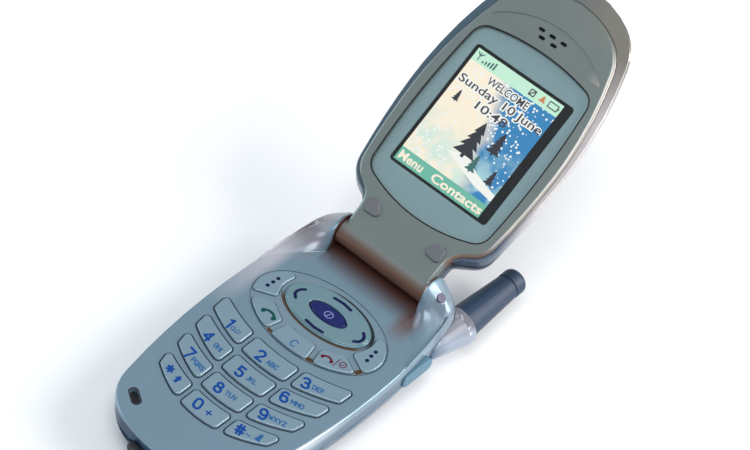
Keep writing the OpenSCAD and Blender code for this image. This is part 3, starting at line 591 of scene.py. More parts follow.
def cover_tints(f, key_colour):
    """The island in the keys' colour, with painted light and shade on the lacquer: brown shadow and
    reflection by the hinge, the ring and the right ear, shade on the island's rim, the ears, the right
    flank and the end wall, and highlights on the left crest and the right edge.
    """
    x, y, z = f.base_mm()
    face = z.above(-0.6)
    island, ring = oval_field(x, y, ISLAND), oval_field(x, y, RING)
    front_half = (x * 0.45 - y).ramp(ISLAND[0] - 1, ISLAND[0] + 5)
    # painted shade: a brown band along the island's front rim
    island_rim_shade = island.below(0.985) * island.ramp(0.86, 0.96) * front_half
    # painted shadow and brown reflection on the cover at the ring's front foot
    ring_foot_reflection = ring.below(1.09) * (-y).ramp(20.6, 22.4)
    # painted shadow in the gap along the ring's upper right
    ring_shade = ring.below(1.08) * (x * 0.5 + y).ramp(-16, -12.5)
    # painted shadow and brown reflection of the lid's barrel on the face in front of the hinge
    barrel_shadow = abs(x).below(13.4) * y.ramp(-9.5, -3.0) * y.ramp(3.0, 1.5)
    # painted highlight along the left crest below the ear
    left_crest_highlight = (-x).ramp(17.0, 20.0) * y.ramp(-36, -16) * y.ramp(-3, -8)
    # painted warm shade on the left ear's inner slope
    left_ear_shade = (-x).ramp(13.6, 16.0) * y.ramp(-13, -5)
    # painted shade on the right flank's wall near the hinge
    right_flank_shade = x.ramp(18.5, 20.5) * z.ramp(-1.4, -2.6) * y.ramp(-52, -42)
    # painted highlight along the rounded right edge towards the keypad's end
    right_edge_highlight = x.ramp(14, 18) * z.ramp(-3.2, -1.2) * z.below(-0.03) * (-y).ramp(36, 60)
    # painted shade on the right ear's inner slope
    right_ear_shade = x.ramp(13.6, 16.0) * y.ramp(-10, -3)
    # painted brown reflection on the face beside the right ear
    beside_ear_reflection = (x.ramp(10.5, 13.0) * x.ramp(18.0, 15.0) * y.ramp(-15, -9) * y.ramp(-1.0, -5.0)
                  * z.ramp(3.2, 0.4))
    return [(island.below(1.0) * face, key_colour),
            (island_rim_shade * face * 0.5, (128, 104, 78)),
            (ring_foot_reflection * face, (78, 54, 24)),
            (ring_shade * face, (20, 24, 34)),
            (barrel_shadow * face, (88, 44, 28)),
            (left_crest_highlight * 0.7, (210, 206, 212)),
            (right_flank_shade * 0.8, (60, 86, 108)),
            (right_ear_shade * 0.5, (118, 126, 138)),
            (beside_ear_reflection * face * 0.75, (104, 62, 44)),
            (left_ear_shade * 0.75, (146, 134, 136)),
            # painted shade: the end wall darker
            (end_wall(f), (30, 62, 92)),
            (right_edge_highlight * 0.9, (232, 240, 246))]


def back_tints(f):
    """Painted shade on the end wall, and the pale collar round the antenna's foot, with painted brown shade
    on its upper part and a painted highlight along its foot.
    """
    x, y, z = f.base_mm()
    collar = x.ramp(12.5, 14.5) * y.ramp(-9.0, -3.0)
    # painted shade: the end wall darker
    return [(end_wall(f), (22, 44, 70)),
            (collar * 0.85, (166, 176, 192)),
            # painted brown shade on the collar's upper part
            (collar * z.ramp(-3.6, -1.6) * 0.55, (104, 92, 86)),
            # painted highlight along the collar's foot
            (collar * z.ramp(-7.5, -9.0) * 0.6, (206, 214, 224))]


def lid_inner_tints(f):
    """Painted brown reflection and shade on the barrel and the right shoulder, a painted highlight on the
    shoulder's rim, warmer towards the tip, and a dark seam along the outer cover.
    """
    x, v, w = f.lid_mm()
    y, z = f.hinge_mm()
    # painted brown reflection and shade on the front of the barrel
    barrel = v.below(3.4) * z.ramp(3.3, 1.4) * z.ramp(-2.6, -1.2) * y.ramp(-0.6, -1.6)
    # painted highlight on the right shoulder's rim
    shoulder_rim_highlight = x.ramp(12, 17) * v.ramp(13, 21) * w.below(-0.1)
    # painted brown shade on the right shoulder
    shoulder = x.ramp(9.5, 13) * v.ramp(6, 8) * v.ramp(17, 13) * w.ramp(0.0, -0.3)
    tip = v.ramp(66, 76) * x.ramp(-4, 12)
    seam = w.ramp(-1.6, -2.0) * v.ramp(11, 14)
    return [(barrel * 0.9, (116, 70, 44)),
            (shoulder_rim_highlight * 0.6, (196, 186, 178)),
            (shoulder * 0.7, (136, 92, 66)),
            (tip * 0.35, (150, 134, 112)),
            (seam, (30, 28, 32))]


def lid_outer_tints(f):
    """The rim beside the inner cover: warm towards the tip, a painted highlight on the right and painted
    shade on the left.
    """
    x, v, w = f.lid_mm()
    rim = w.ramp(-5.5, -4.0)
    upper = rim * x.ramp(-12, 6) * v.ramp(30, 50)
    # painted highlight along the right side
    right = rim * x.ramp(8, 15) * v.ramp(68, 52) * v.ramp(17, 30)
    # painted shade along the left side
    left = rim * x.ramp(-8, -15)
    return [(upper, (132, 128, 118)), (right, (206, 200, 200)), (left * 0.6, (70, 96, 108))]


FINISH = {}


def make_finishes(c):
    """Every finish of the phone, with the panel's colours."""
    FINISH.update(
        cover=lacquer("silver_blue_lacquer", c.cover, tints=lambda f: cover_tints(f, c.key),
                      bare=end_wall),
        back=lacquer("silver_blue_lacquer_back", c.back, drift=0.07, tints=back_tints, bare=end_wall),
        lid_inside=lacquer("warm_grey_lacquer", c.lid_inside, metallic=0.45, rough=0.36,
                           tints=lid_inner_tints),
        lid_outside=lacquer("dark_blue_lacquer", c.lid_outside, metallic=0.5, rough=0.3,
                            tints=lid_outer_tints),
        key=lacquer("key_satin", c.key, metallic=0.25, rough=0.36, flake=0.05),
        ring=lacquer("ring_turquoise", c.ring, metallic=0.2, rough=0.2, coat=0.9, flake=0.03),
        navy=plastic("centre_key_navy", c.navy, rough=0.4),
        mask=lacquer("lens_print", c.mask, metallic=0.3, rough=0.35, flake=0.03, drift=0.03),
        lens=acrylic("lens_acrylic"),
        window=plastic("tinted_window", (18, 22, 34), rough=0.08, coat=1.0, depth=0.000001),
        rubber=plastic("grey_rubber", (98, 100, 106), rough=0.65, depth=0.00001),
        black_rubber=plastic("black_rubber", (34, 34, 36), rough=0.6, depth=0.00001),
        cyan_rubber=plastic("side_cover_rubber", (84, 122, 142), rough=0.5),
        antenna=plastic("antenna_rubber", c.antenna, rough=0.5, depth=0.00001, grain=1800),
        plug=plastic("plug_purple_grey", (84, 82, 102), rough=0.5),
        silicone=plastic("mat_silicone", (222, 226, 224), rough=0.5),
        board=plastic("green_board", (24, 86, 48), rough=0.35, coat=0.4, grain=900, depth=0.00003,
                      drift=0.2),
        dome=plastic("dome_film", (206, 196, 160), rough=0.3),
        beige=plastic("holder_plastic", (198, 192, 172)),
        black=plastic("black_plastic", (26, 26, 30), rough=0.5),
        copper=plastic("flex_film", (196, 120, 52), rough=0.3, coat=0.4),
        steel=metal("screw_steel", (170, 172, 176), 0.32),
        can=metal("tinned_can", (192, 194, 198), 0.38),
        gold=metal("contact_gold", (214, 176, 96), 0.28),
        display_black=ink("display_black", (5, 2, 4), 0.6),
        blue_ink=ink("digit_blue", (2, 60, 132)),
        pale_ink=ink("letter_blue", (36, 86, 136)),
        navy_ink=ink("mark_navy", (2, 16, 62)),
        green_ink=ink("call_green", (4, 66, 66)),
        maroon_ink=ink("end_maroon", (84, 4, 34)),
        white_ink=ink("mark_white", (116, 126, 170)),
        rib_brown=ink("rib_brown", (70, 50, 32)),
        mic_grey=ink("microphone_grey", (46, 44, 52), 0.5),
        # painted shade round the keys' wells
        edge_shade=ink("edge_shade", (34, 46, 56), 0.6),
        gap_shadow=ink("gap_shadow", (30, 28, 30), 0.8),
    )


# ---- sizes and colours a user would change ----

def colour_setting(label, r, g, b):
    """A colour kept as 0 to 255 red, green and blue."""
    return bpy.props.IntVectorProperty(name=label, description=label + " as 0 to 255 red, green and blue",
                                       default=(r, g, b), min=0, max=255, size=3)


def size_setting(label, about, default, least, most):
    """A size given in millimetres, kept in metres."""
    return bpy.props.FloatProperty(name=label, description=about, default=default * MM, min=least * MM,
                                   max=most * MM, precision=5, subtype="DISTANCE", unit="LENGTH")


class PhoneColours(bpy.types.PropertyGroup):
    cover: colour_setting("Colour of the front cover", 116, 142, 158)
    back: colour_setting("Colour of the rear cover and battery", 60, 92, 118)
    lid_inside: colour_setting("Colour of the lid's inner cover", 112, 122, 120)
    lid_outside: colour_setting("Colour of the lid's outer cover", 84, 98, 116)
    key: colour_setting("Colour of the keys", 118, 142, 156)
    ring: colour_setting("Colour of the ring key", 100, 132, 142)
    navy: colour_setting("Colour of the centre key", 1, 20, 84)
    mask: colour_setting("Colour of the print behind the lens", 128, 154, 158)
    antenna: colour_setting("Colour of the antenna", 34, 54, 78)


class PhoneSizes(bpy.types.PropertyGroup):
    key_round: size_setting("Key rounding", "Radius along the top edge of a key", 0.4, 0.1, 0.6)
    digit_height: size_setting("Digit height", "Height of the digits on the keys", 2.6, 2, 3.5)
    letter_height: size_setting("Letter height", "Height of the letters on the keys", 1.15, 0.8, 2)


# ---- pieces that keep a node's own shape ----

def key_cap(node, radius):
    """A key with its stepped crown rebuilt as one rounded top."""
    cap = take(node, BASE)
    with Edit(cap, "VERT") as e:
        e.drop(lambda v: v.co.z > KEY_STEP + 5 * NEAR)
    with Edit(cap, "FACE") as e:
        e.drop(lambda f: abs(middle(f).z - KEY_STEP) < 2 * NEAR)
    with Edit(cap, "EDGE") as e:
        e.drop(lambda k: not k.link_faces)
    with Edit(cap, "VERT") as e:
        e.drop(lambda v: not v.link_edges or KEY_STEP - 10 * NEAR < v.co.z < KEY_STEP - NEAR)
    with Edit(cap, "EDGE") as e:
        e.pick(lambda k: len(k.link_faces) == 1)
        bpy.ops.mesh.edge_face_add()
    with Edit(cap, "FACE") as e:
        e.pick(lambda f: middle(f).z > KEY_STEP - NEAR)
        bpy.ops.transform.translate(value=(0, 0, KEY_RISE - KEY_STEP))
    with Edit(cap, "EDGE") as e:
        e.pick(lambda k: middle(k).z > KEY_RISE - NEAR and len(k.link_faces) == 2
               and k.calc_face_angle(0) > math.radians(34))
        bevel(radius, 4)
    soften(cap, 40)
    settle(cap, BASE, "cap_" + node, node + "_body", "key", node)


def oval_top(node, body, name, finish, edge):
    """An oval key with its upper edges rounded."""
    key = take(node, BASE)
    with Edit(key, "EDGE") as e:
        e.pick(lambda k: middle(k).z > 10 * NEAR and corner(k, 40))
        bevel(edge, 3, clamp=True)
    soften(key, 45)
    settle(key, BASE, name, body, finish, node)


def dress(node, place, name, body, finish, edge, segments=2, least=50):
    """A node's own shape with its outer edges eased and its curves shaded smooth.
    Edges much shorter than the rounding are left as they are."""
    obj = take(node, place)
    if edge:
        with Edit(obj, "EDGE") as e:
            if e.pick(lambda k: corner(k, least) and k.calc_length() > edge * 0.3):
                bevel(edge, segments, clamp=True)
    soften(obj)
    settle(obj, place, name, body, finish, node)


def marks(name, body, parts):
    """Joins thin marks on one key's top into one piece: (object, finish) pairs."""
    for obj, finish in parts:
        paint(obj, FINISH[finish])
    whole = join([obj for obj, _ in parts])
    whole.data.transform(Matrix.Translation((0, 0, KEY_RISE - PRINT_SUNK)))
    settle(whole, BASE, name, body)


# ---- legends of the number keys, in millimetres of the keypad ----

# the strokes of each glyph, as points on a grid of 4 by 6
GLYPHS = {
    "0": ["1.2,0 2.8,0 3.7,.8 4,2 4,4 3.7,5.2 2.8,6 1.2,6 .3,5.2 0,4 0,2 .3,.8 1.2,0"],
    "1": [".2,4.7 1.1,5.1 2,6 2,0"],
    "2": ["0,4.6 .3,5.4 1.2,6 2.8,6 3.7,5.3 3.8,4.3 3.3,3.2 0,0 4,0"],
    "3": ["0,5.2 1,6 2.7,6 3.6,5.3 3.6,4 2.7,3.2 1.5,3.2", "2.7,3.2 3.8,2.4 3.9,1 2.9,0 1,0 0,.8"],
    "4": ["3.1,0 3.1,6 0,1.8 4.1,1.8"],
    "5": ["3.7,6 .7,6 .4,3.2 1.4,3.7 2.8,3.6 3.8,2.7 3.8,1 2.8,0 1,0 0,.7"],
    "6": ["3.6,5.5 2.7,6 1.3,6 .3,5 0,3.6 0,1.6 .4,.6 1.3,0 2.7,0 3.7,.7 3.9,2 3.4,3.2 2.4,3.7 1,3.5 "
          ".1,2.4"],
    "7": ["0,6 4,6 1.5,0"],
    "8": ["1.4,3.3 .4,4.1 .4,5.2 1.4,6 2.6,6 3.6,5.2 3.6,4.1 2.6,3.3 1.4,3.3 .1,2.3 .1,.9 1.2,0 2.8,0 "
          "3.9,.9 3.9,2.3 2.6,3.3"],
    "9": [".3,.5 1.2,0 2.6,0 3.6,1 3.9,2.4 3.9,4.4 3.5,5.4 2.6,6 1.2,6 .2,5.3 0,4 .5,2.8 1.5,2.3 2.9,2.5 "
          "3.8,3.6"],
    "*": ["2,4.6 2,.6", ".3,3.6 3.7,1.6", ".3,1.6 3.7,3.6"],
    "#": ["1.2,0 1.8,6", "3,0 3.6,6", ".2,1.9 4.4,1.9", ".4,4.1 4.6,4.1"],
    "+": ["2,1 2,5", "0,3 4,3"],
    "A": ["0,0 2,6 4,0", ".7,2 3.3,2"],
    "B": ["0,0 0,6 2.6,6 3.4,5.3 3.4,4 2.6,3.2 0,3.2", "2.6,3.2 3.8,2.4 3.8,.9 2.8,0 0,0"],
    "C": ["4,4.8 3,6 1.2,6 0,4.6 0,1.4 1.2,0 3,0 4,1.2"],
    "D": ["0,0 0,6 2.4,6 4,4.4 4,1.6 2.4,0 0,0"], "E": ["3.6,6 0,6 0,0 3.6,0", "0,3.1 3,3.1"],
    "F": ["3.6,6 0,6 0,0", "0,3.1 3,3.1"], "G": ["4,4.8 3,6 1.2,6 0,4.6 0,1.4 1.2,0 3,0 4,1 4,2.8 2.4,2.8"],
    "H": ["0,0 0,6", "4,0 4,6", "0,3.1 4,3.1"], "I": [".2,0 .2,6"], "J": ["2.8,6 2.8,1.2 2,0 .9,0 0,1"],
    "K": ["0,0 0,6", "3.8,6 0,2.6", "1.4,3.8 3.9,0"], "L": ["0,6 0,0 3.4,0"],
    "M": ["0,0 0,6 2.3,2 4.6,6 4.6,0"], "N": ["0,0 0,6 4,0 4,6"],
    "O": ["1.2,0 2.8,0 4,1.4 4,4.6 2.8,6 1.2,6 0,4.6 0,1.4 1.2,0"],
    "P": ["0,0 0,6 2.8,6 3.8,5.2 3.8,3.6 2.8,2.8 0,2.8"],
    "Q": ["1.2,0 2.8,0 4,1.4 4,4.6 2.8,6 1.2,6 0,4.6 0,1.4 1.2,0", "2.4,1.8 4.2,-.4"],
    "R": ["0,0 0,6 2.8,6 3.8,5.2 3.8,3.8 2.8,3 0,3", "2,3 3.9,0"],
    "S": ["3.8,5 2.9,6 1,6 0,5.1 .2,3.9 1.2,3.3 2.8,2.8 3.8,2.1 3.9,.9 2.9,0 1,0 0,.9"],
    "T": ["0,6 4,6", "2,6 2,0"], "U": ["0,6 0,1.3 1.1,0 2.9,0 4,1.3 4,6"], "V": ["0,6 2,0 4,6"],
    "W": ["0,6 1.3,0 2.6,4.4 3.9,0 5.2,6"], "X": ["0,0 4,6", "0,6 4,0"],
    "Y": ["0,6 2,2.8 4,6", "2,2.8 2,0"], "Z": ["0,6 4,6 0,0 4,0"],
}
SLANT = 0.2             # sideways lean of the lettering, per unit of height
DIGIT_PEN, LETTER_PEN = 0.6, 0.28
# glyph, its middle on the keypad and its turn in degrees
DIGITS = {
    "key_1": ("1", -13.3, -37.2, -12), "key_2": ("2", -2.0, -39.1, 0), "key_3": ("3", 10.3, -37.6, 12),
    "key_4": ("4", -13.9, -43.5, -12), "key_5": ("5", -2.0, -45.7, 0), "key_6": ("6", 9.7, -43.9, 12),
    "key_7": ("7", -13.3, -50.1, -11), "key_8": ("8", -2.1, -52.4, 0), "key_9": ("9", 9.8, -50.8, 11),
    "key_star": ("*", -13.2, -56.2, 0), "key_0": ("0", -2.0, -59.0, 0), "key_hash": ("#", 9.3, -57.6, 10),
}
LETTERS = {
    "key_2": ("ABC", 1.6, -39.2, 4), "key_3": ("DEF", 13.4, -36.95, 12),
    "key_4": ("GHI", -10.2, -44.3, -10), "key_5": ("JKL", 1.5, -45.7, 4),
    "key_6": ("MNO", 13.1, -43.4, 12), "key_7": ("PQRS", -9.8, -51.05, -8),
    "key_8": ("TUV", 1.4, -52.2, 4), "key_9": ("WXYZ", 13.2, -49.9, 12),
}
REELS_AT, REEL_R, REEL_APART = (-11.0, -37.8), 0.48, 0.75      # two reels on a line: voice mail
PLUS_AT, PLUS_HIGH = (1.4, -59.2), 2.0
ARROW_AT = (-9.9, -57.3)                                       # middle of the foot of its head
ARROW = [(-0.9, 0), (0, 1.2), (0.9, 0), (0.4, 0), (0.4, -1.1), (-0.4, -1.1), (-0.4, 0)]
WAVE = [(10.9, -57.5), (11.3, -57.3), (11.7, -57.5), (12.1, -57.3)]
BELL = [(12.9, -57.2), (14.6, -57.2), (14.2, -56.2), (14.2, -55.4), (13.75, -54.9), (13.3, -55.4),
        (13.3, -56.2)]


def extra_marks(key):
    """The small signs that some number keys carry beside their digit."""
    if key == "key_1":
        x, y = REELS_AT
        reels = [arc_points(x + side * REEL_APART, y, REEL_R, REEL_R, 0, 360, 14) for side in (-1, 1)]
        tape = [(x - REEL_APART, y - 0.5), (x + REEL_APART, y - 0.5)]
        return [(pen(reels + [tape], 0.22), "pale_ink")]
    if key == "key_0":
        return [(pen(glyph_lines("+", *PLUS_AT, PLUS_HIGH), 0.4), "blue_ink")]
    if key == "key_star":
        return [(flat_piece([[(ARROW_AT[0] + x, ARROW_AT[1] + y) for x, y in ARROW]]), "blue_ink")]
    if key == "key_hash":
        return [(pen([WAVE], 0.26), "pale_ink"), (flat_piece([BELL]), "pale_ink")]
    return []


def key_legends(sizes):
    """Digit, letters and signs of each number key."""
    for key, (glyph, x, y, turn) in DIGITS.items():
        digit = glyph_lines(glyph, x, y, sizes.digit_height / MM, turn, SLANT)
        parts = [(pen(digit, DIGIT_PEN), "blue_ink")]
        if key in LETTERS:
            text, x, y, turn = LETTERS[key]
            letters = glyph_lines(text, x, y, sizes.letter_height / MM, turn, SLANT)
            parts.append((pen(letters, LETTER_PEN), "pale_ink"))
        marks("legend_" + key[4:], key + "_body", parts + extra_marks(key))


# ---- legends of the function keys, in millimetres of the keypad ----

FUNCTION_KEYS = ["soft_key_left", "soft_key_right", "send_key", "clear_key", "end_key"]
SOFT_DOTS = ((15.2, -22.9), (15.0, -21.3), (14.9, -19.7))      # on the right key, mirrored on the left
DOT_R = 0.5
HANDSET_END_HIGH = 0.026                                       # a hair over the bow
SEND, END = (-9.1, -28.4, 4.0, -4), (8.7, -28.6, 3.0, 4)       # handset: middle, size and turn
CLEAR, CLEAR_PEN = (0.6, -31.1, 1.9), 0.3                      # middle and height of the C
END_LINE = [(10.9, -29.6), (10.9, -27.0)]                      # upright, right of the handset
POWER, POWER_REACH, END_PEN = (12.4, -27.8, 0.8, 0.8), (0.3, 0.4), 0.22     # struck ring
CENTRE, CENTRE_REACH, CENTRE_PEN = (0.3, -19.3, 1.1, 0.9), (0.25, 0.6), 0.24
RING_MARKS = (0.3, -19.4)                                      # between the ring's two bars
BAR_HALF, BAR_Y, BAR_END_Y = 2.5, 5.0, 4.73
RING_PEN = 0.75
RING_LEFT = [(-8.44, -17.6), (-9.15, -18.3), (-9.51, -19.3), (-9.3, -20.2), (-8.34, -21.0)]
RING_RIGHT = [(9.3, -17.6), (10.1, -18.2), (10.53, -19.2), (10.3, -20.2), (9.38, -21.0)]


def handset(x, y, size, turn, finish):
    """A telephone handset, hollow side down: a bow and its two thicker ends, all in parts of its size."""
    turned = Matrix.Translation((x, y, 0)) @ Matrix.Rotation(math.radians(turn), 4, "Z")
    bow = arc_points(0, -0.5 * size, 0.56 * size, 0.56 * size, 140, 40)
    ends = [[(side * 0.43 * size, -0.15 * size), (side * 0.4 * size, -0.2 * size)] for side in (-1, 1)]
    parts = [pen([bow], 0.17 * size), pen(ends, 0.27 * size, 0.0, HANDSET_END_HIGH)]
    for part in parts:
        part.data.transform(turned)
    return [(part, finish) for part in parts]


def struck_ring(x, y, rx, ry, reach, sides):
    """A ring with a short slanting stroke through its middle."""
    ring = arc_points(x, y, rx, ry, 0, 360, sides)
    return [ring, [(x - reach[0], y - reach[1]), (x + reach[0], y + reach[1])]]


def function_legends():
    """Dots, handsets, the C and the marks of the ring and centre keys."""
    for side, key in ((-1, "soft_key_left"), (1, "soft_key_right")):
        dots = [(disc(side * x, y, DOT_R), "navy_ink") for x, y in SOFT_DOTS]
        marks("legend_" + key, key + "_body", dots)
    marks("legend_send", "send_key_body", handset(*SEND, "green_ink"))
    marks("legend_clear", "clear_key_body", [(pen(glyph_lines("C", *CLEAR), CLEAR_PEN), "pale_ink")])
    line, power = pen([END_LINE], END_PEN), pen(struck_ring(*POWER, POWER_REACH, 16), END_PEN)
    marks("legend_end", "end_key_body",
          handset(*END, "maroon_ink") + [(line, "maroon_ink"), (power, "maroon_ink")])
    x, y = RING_MARKS
    bars = [[(x + side * BAR_HALF, y + up * BAR_END_Y), (x, y + up * BAR_Y)]
            for up in (1, -1) for side in (-1, 1)]
    marks("legend_ring", "ring_key", [(pen(bars + [RING_LEFT, RING_RIGHT], RING_PEN), "navy_ink")])
    centre = struck_ring(*CENTRE, CENTRE_REACH, 20)
    marks("legend_centre", "centre_key_body", [(pen(centre, CENTRE_PEN), "white_ink")])


# ---- small pieces on the covers ----

# the line and the width of each painted brown shadow at a rib end between two function keys
RIB_ENDS = (([(5.93, -31.3), (6.13, -32.35)], 1.5), ([(-5.97, -31.6), (-6.12, -32.35)], 1.3),
            ([(15.4, -26.36), (16.4, -26.83)], 1.5))
RIB_HIGH = 0.03
MIC_AT, MIC_TURN = (-13.2, -67.2), -32
MIC_RIM = ((1.35, 1.2), (1.1, 0.95))    # outside and hole: half the straight length, end radius
# the painted shade round each number key's well
WELL_EDGE = (0.65, 0.46)                # outside and inside of the shaded edge, from the key's top
WELL_EDGE_HIGH = 0.012
GASKET = (0.22, -0.1)                   # outside and inside, from the lens's edge
PAD_AT = (9.65, 7.83)                   # bumper on the right, on the lid
# corners of the right pad's D shape, from its middle
PAD = [(-1.3, -0.5), (0.75, -0.6), (0.75, 0.85), (-0.3, 0.7)]
PAD_ROUND, PAD_SOFT = 1.2, 0.4          # round the corners and along the top edge
PAD_LOW, PAD_HIGH = 0.005, 0.7
PLUG_SINK, PLUG_HEAD = 0.5, 0.2         # the plugs' own heads, higher than this, go down into the pads


def rib_end_shadows():
    """Painted brown shadows at the ends of the ribs between the function keys."""
    whole = join([ribbon(line, width, 0.0, RIB_HIGH) for line, width in RIB_ENDS])
    settle(whole, BASE, "island_rib_shadows", "base", "rib_brown")


def microphone_rim():
    """Dark oval rim of the microphone hole."""
    rim = flat_piece([rounded_outline(box_outline(-a, a, -NEAR, NEAR), r) for a, r in MIC_RIM])
    rim.data.transform(Matrix.Translation((*MIC_AT, 0)) @ Matrix.Rotation(math.radians(MIC_TURN), 4, "Z"))
    settle(rim, BASE, "microphone_rim", "base", "mic_grey")


def painted_well_shade():
    """Painted shade round each number key: a dark plate on the cover where the key's gap falls in shadow.
    """
    tops = [top_outline(node, BASE) for node in DIGITS]
    whole = join([flat_piece([shifted(top, by) for by in WELL_EDGE], 0.0, WELL_EDGE_HIGH) for top in tops])
    settle(whole, BASE, "key_well_shade", "base", "edge_shade")


def lens_gasket():
    """Dark line round the lens."""
    lens = top_outline("screen_lens", LID)
    gasket = flat_piece([shifted(lens, by) for by in GASKET])
    settle(gasket, LID, "lens_gasket", "lid", "gap_shadow")


def bumper_head(side):
    """The rounded head of one bumper, side 1 on the right and -1 on the left."""
    corners = PAD if side > 0 else [(-x, y) for x, y in PAD[::-1]]
    outline = rounded_outline([(side * PAD_AT[0] + x, PAD_AT[1] + y) for x, y in corners], PAD_ROUND)
    head = flat_piece([outline], PAD_LOW, PAD_HIGH)
    with Edit(head, "VERT", "SELECT"):
        bpy.ops.mesh.dissolve_limited(angle_limit=math.radians(1))
    with Edit(head, "EDGE") as e:
        e.pick(lambda k: all(v.co.z > PAD_HIGH - NEAR for v in k.verts) and corner(k, 50))
        bevel(PAD_SOFT, 4)
    return head


def bumper_pads():
    """Rubber pads: the node's own plugs with rounder heads."""
    plugs = take("lid_bumpers", LID)
    with Edit(plugs, "VERT") as e:
        e.pick(lambda v: v.co.z > PLUG_HEAD)
        bpy.ops.transform.translate(value=(0, 0, -PLUG_SINK))
    pads = join([plugs] + [bumper_head(side) for side in (1, -1)])
    soften(pads)
    settle(pads, LID, "lid_bumper_pads", "lid", "rubber", "lid_bumpers")


# ---- the lit display, in millimetres of the lid ----

SCREEN_LEFT, SCREEN_RIGHT, SCREEN_FOOT, SCREEN_TOP = -13.7, 11.9, 19.95, 52.0
SCREEN_DEEP = -1.07                     # from the lid's inner face
# tops of the picture's layers, each a hair over the last
SKY_HIGH, BANK_HIGH, FIR_HIGH, BAR_HIGH, SIGN_HIGH = 0.012, 0.016, 0.02, 0.022, 0.03
EDGE_HIGH, TEXT_HIGH = 0.023, 0.028
SCREEN_COLOURS = {"mint": (196, 240, 214), "teal": (104, 184, 162), "cream": (252, 238, 216),
                  "dark": (52, 48, 62), "green": (44, 104, 100), "fir": (30, 28, 44),
                  "snow": (244, 246, 240), "orange": (206, 128, 70)}
BANK = [(-4.5, 28.6), (0.5, 30.2), (5.0, 28.0), (SCREEN_RIGHT, 26.2), (SCREEN_RIGHT, 24.6), (6.0, 25.4),
        (1.0, 27.0)]
# x, foot, height, width and colour of each fir
FIRS = ((-0.6, 29.0, 9.8, 6.2, "fir"), (4.9, 33.2, 6.2, 3.8, "fir"), (8.6, 27.0, 4.2, 2.6, "fir"),
        (-10.6, 38.6, 3.2, 2.0, "fir"), (3.0, 27.2, 4.6, 3.0, "green"))
# text, its middle, height and width
TEXT_LINES = (("WELCOME", -1.0, 47.1, 1.9, 11.9), ("Sunday 10 June", -0.9, 43.9, 2.0, 24.4),
              ("10:48", -1.0, 40.9, 2.0, 9.0))
TEXT_BOLD, TEXT_EDGE, TEXT_EDGE_SPAN = 0.03, 0.3, 0.5          # the edge is bolder and a little wider
STATUS_BAR, KEY_BAR = 3.2, 3.45                                # heights
KEY_WORDS = (("Menu", -9.6, 7.0), ("Contacts", 4.2, 15.0))     # word, its middle and width
KEY_WORD_Y, KEY_WORD_HEIGHT, KEY_WORD_BOLD = SCREEN_FOOT + 1.7, 2.1, 0.08


def fir(x, foot, tall, wide):
    """A stylised fir: four tiers of drooping boughs over a short trunk, in parts of its size."""
    trunk = 0.08
    right = [(0.07 * wide, foot), (0.07 * wide, foot + trunk * tall)]
    for tier in range(4):
        up = foot + tall * (trunk + 0.2 * tier)
        right += [(wide * (0.5 - 0.09 * tier), up), (wide * (0.2 - 0.04 * tier), up + 0.22 * tall)]
    outline = [(x + u, v) for u, v in right] + [(x, foot + tall)] + [(x - u, v) for u, v in right[::-1]]
    return flat_piece([outline], BANK_HIGH, FIR_HIGH)


def display_scene():
    """The picture's motifs: a snow bank and firs."""
    return ([(flat_piece([BANK], SKY_HIGH, BANK_HIGH), "snow")]
            + [(fir(x, foot, tall, wide), colour) for x, foot, tall, wide, colour in FIRS])


def sign(outline):
    return flat_piece([outline], BAR_HIGH, SIGN_HIGH)


def drawn_sign(lines, width):
    return pen(lines, width, BAR_HIGH, SIGN_HIGH)


def status_signs():
    """Aerial, signal bars, struck box, bell and battery, left to right under the top edge."""
    x, y = SCREEN_LEFT, SCREEN_TOP
    aerial = [[(x + 0.7, y - 0.7), (x + 1.5, y - 1.5), (x + 2.3, y - 0.7)],
              [(x + 1.5, y - 0.7), (x + 1.5, y - 2.5)]]
    parts = [(drawn_sign(aerial, 0.28), "green")]
    for i in range(5):
        left = x + 2.7 + 0.8 * i
        parts.append((sign(box_outline(left, left + 0.45, y - 2.6, y - 2.1 + 0.34 * i)), "green"))
    struck_box = [box_line(3.0, 4.4, y - 2.3, y - 0.9), [(3.0, y - 2.3), (4.4, y - 0.9)]]
    bell = [(5.7, y - 2.2), (7.7, y - 2.2), (7.2, y - 1.6), (7.0, y - 0.9), (6.7, y - 0.6), (6.4, y - 0.9),
            (6.2, y - 1.6)]
    battery = [box_line(8.5, 11.0, y - 2.2, y - 0.8), [(11.3, y - 1.7), (11.3, y - 1.3)]]
    return parts + [(drawn_sign(struck_box, 0.3), "dark"), (sign(bell), "orange"),
                    (drawn_sign(battery, 0.26), "dark")]


def display_bars():
    """Status bar at the top, and the bar with the words of the soft keys at the foot."""
    top = box_outline(SCREEN_LEFT, SCREEN_RIGHT, SCREEN_TOP - STATUS_BAR, SCREEN_TOP)
    foot = box_outline(SCREEN_LEFT, SCREEN_RIGHT, SCREEN_FOOT, SCREEN_FOOT + KEY_BAR)
    parts = [(flat_piece([top], FIR_HIGH, BAR_HIGH), "mint"),
             (flat_piece([foot], FIR_HIGH, BAR_HIGH), "teal")]
    for text, x, span in KEY_WORDS:
        word = words(text, x, KEY_WORD_Y, KEY_WORD_HEIGHT, span, KEY_WORD_BOLD, BAR_HIGH, SIGN_HIGH)
        parts.append((word, "cream"))
    return parts + status_signs()


def display_lines():
    """Three lines of text, dark with a pale edge."""
    parts = []
    for text, x, y, height, span in TEXT_LINES:
        edge = words(text, x, y, height, span + TEXT_EDGE_SPAN, TEXT_EDGE, FIR_HIGH, EDGE_HIGH)
        line = words(text, x, y, height, span, TEXT_BOLD, EDGE_HIGH, TEXT_HIGH)
        parts += [(edge, "snow"), (line, "dark")]
    return parts


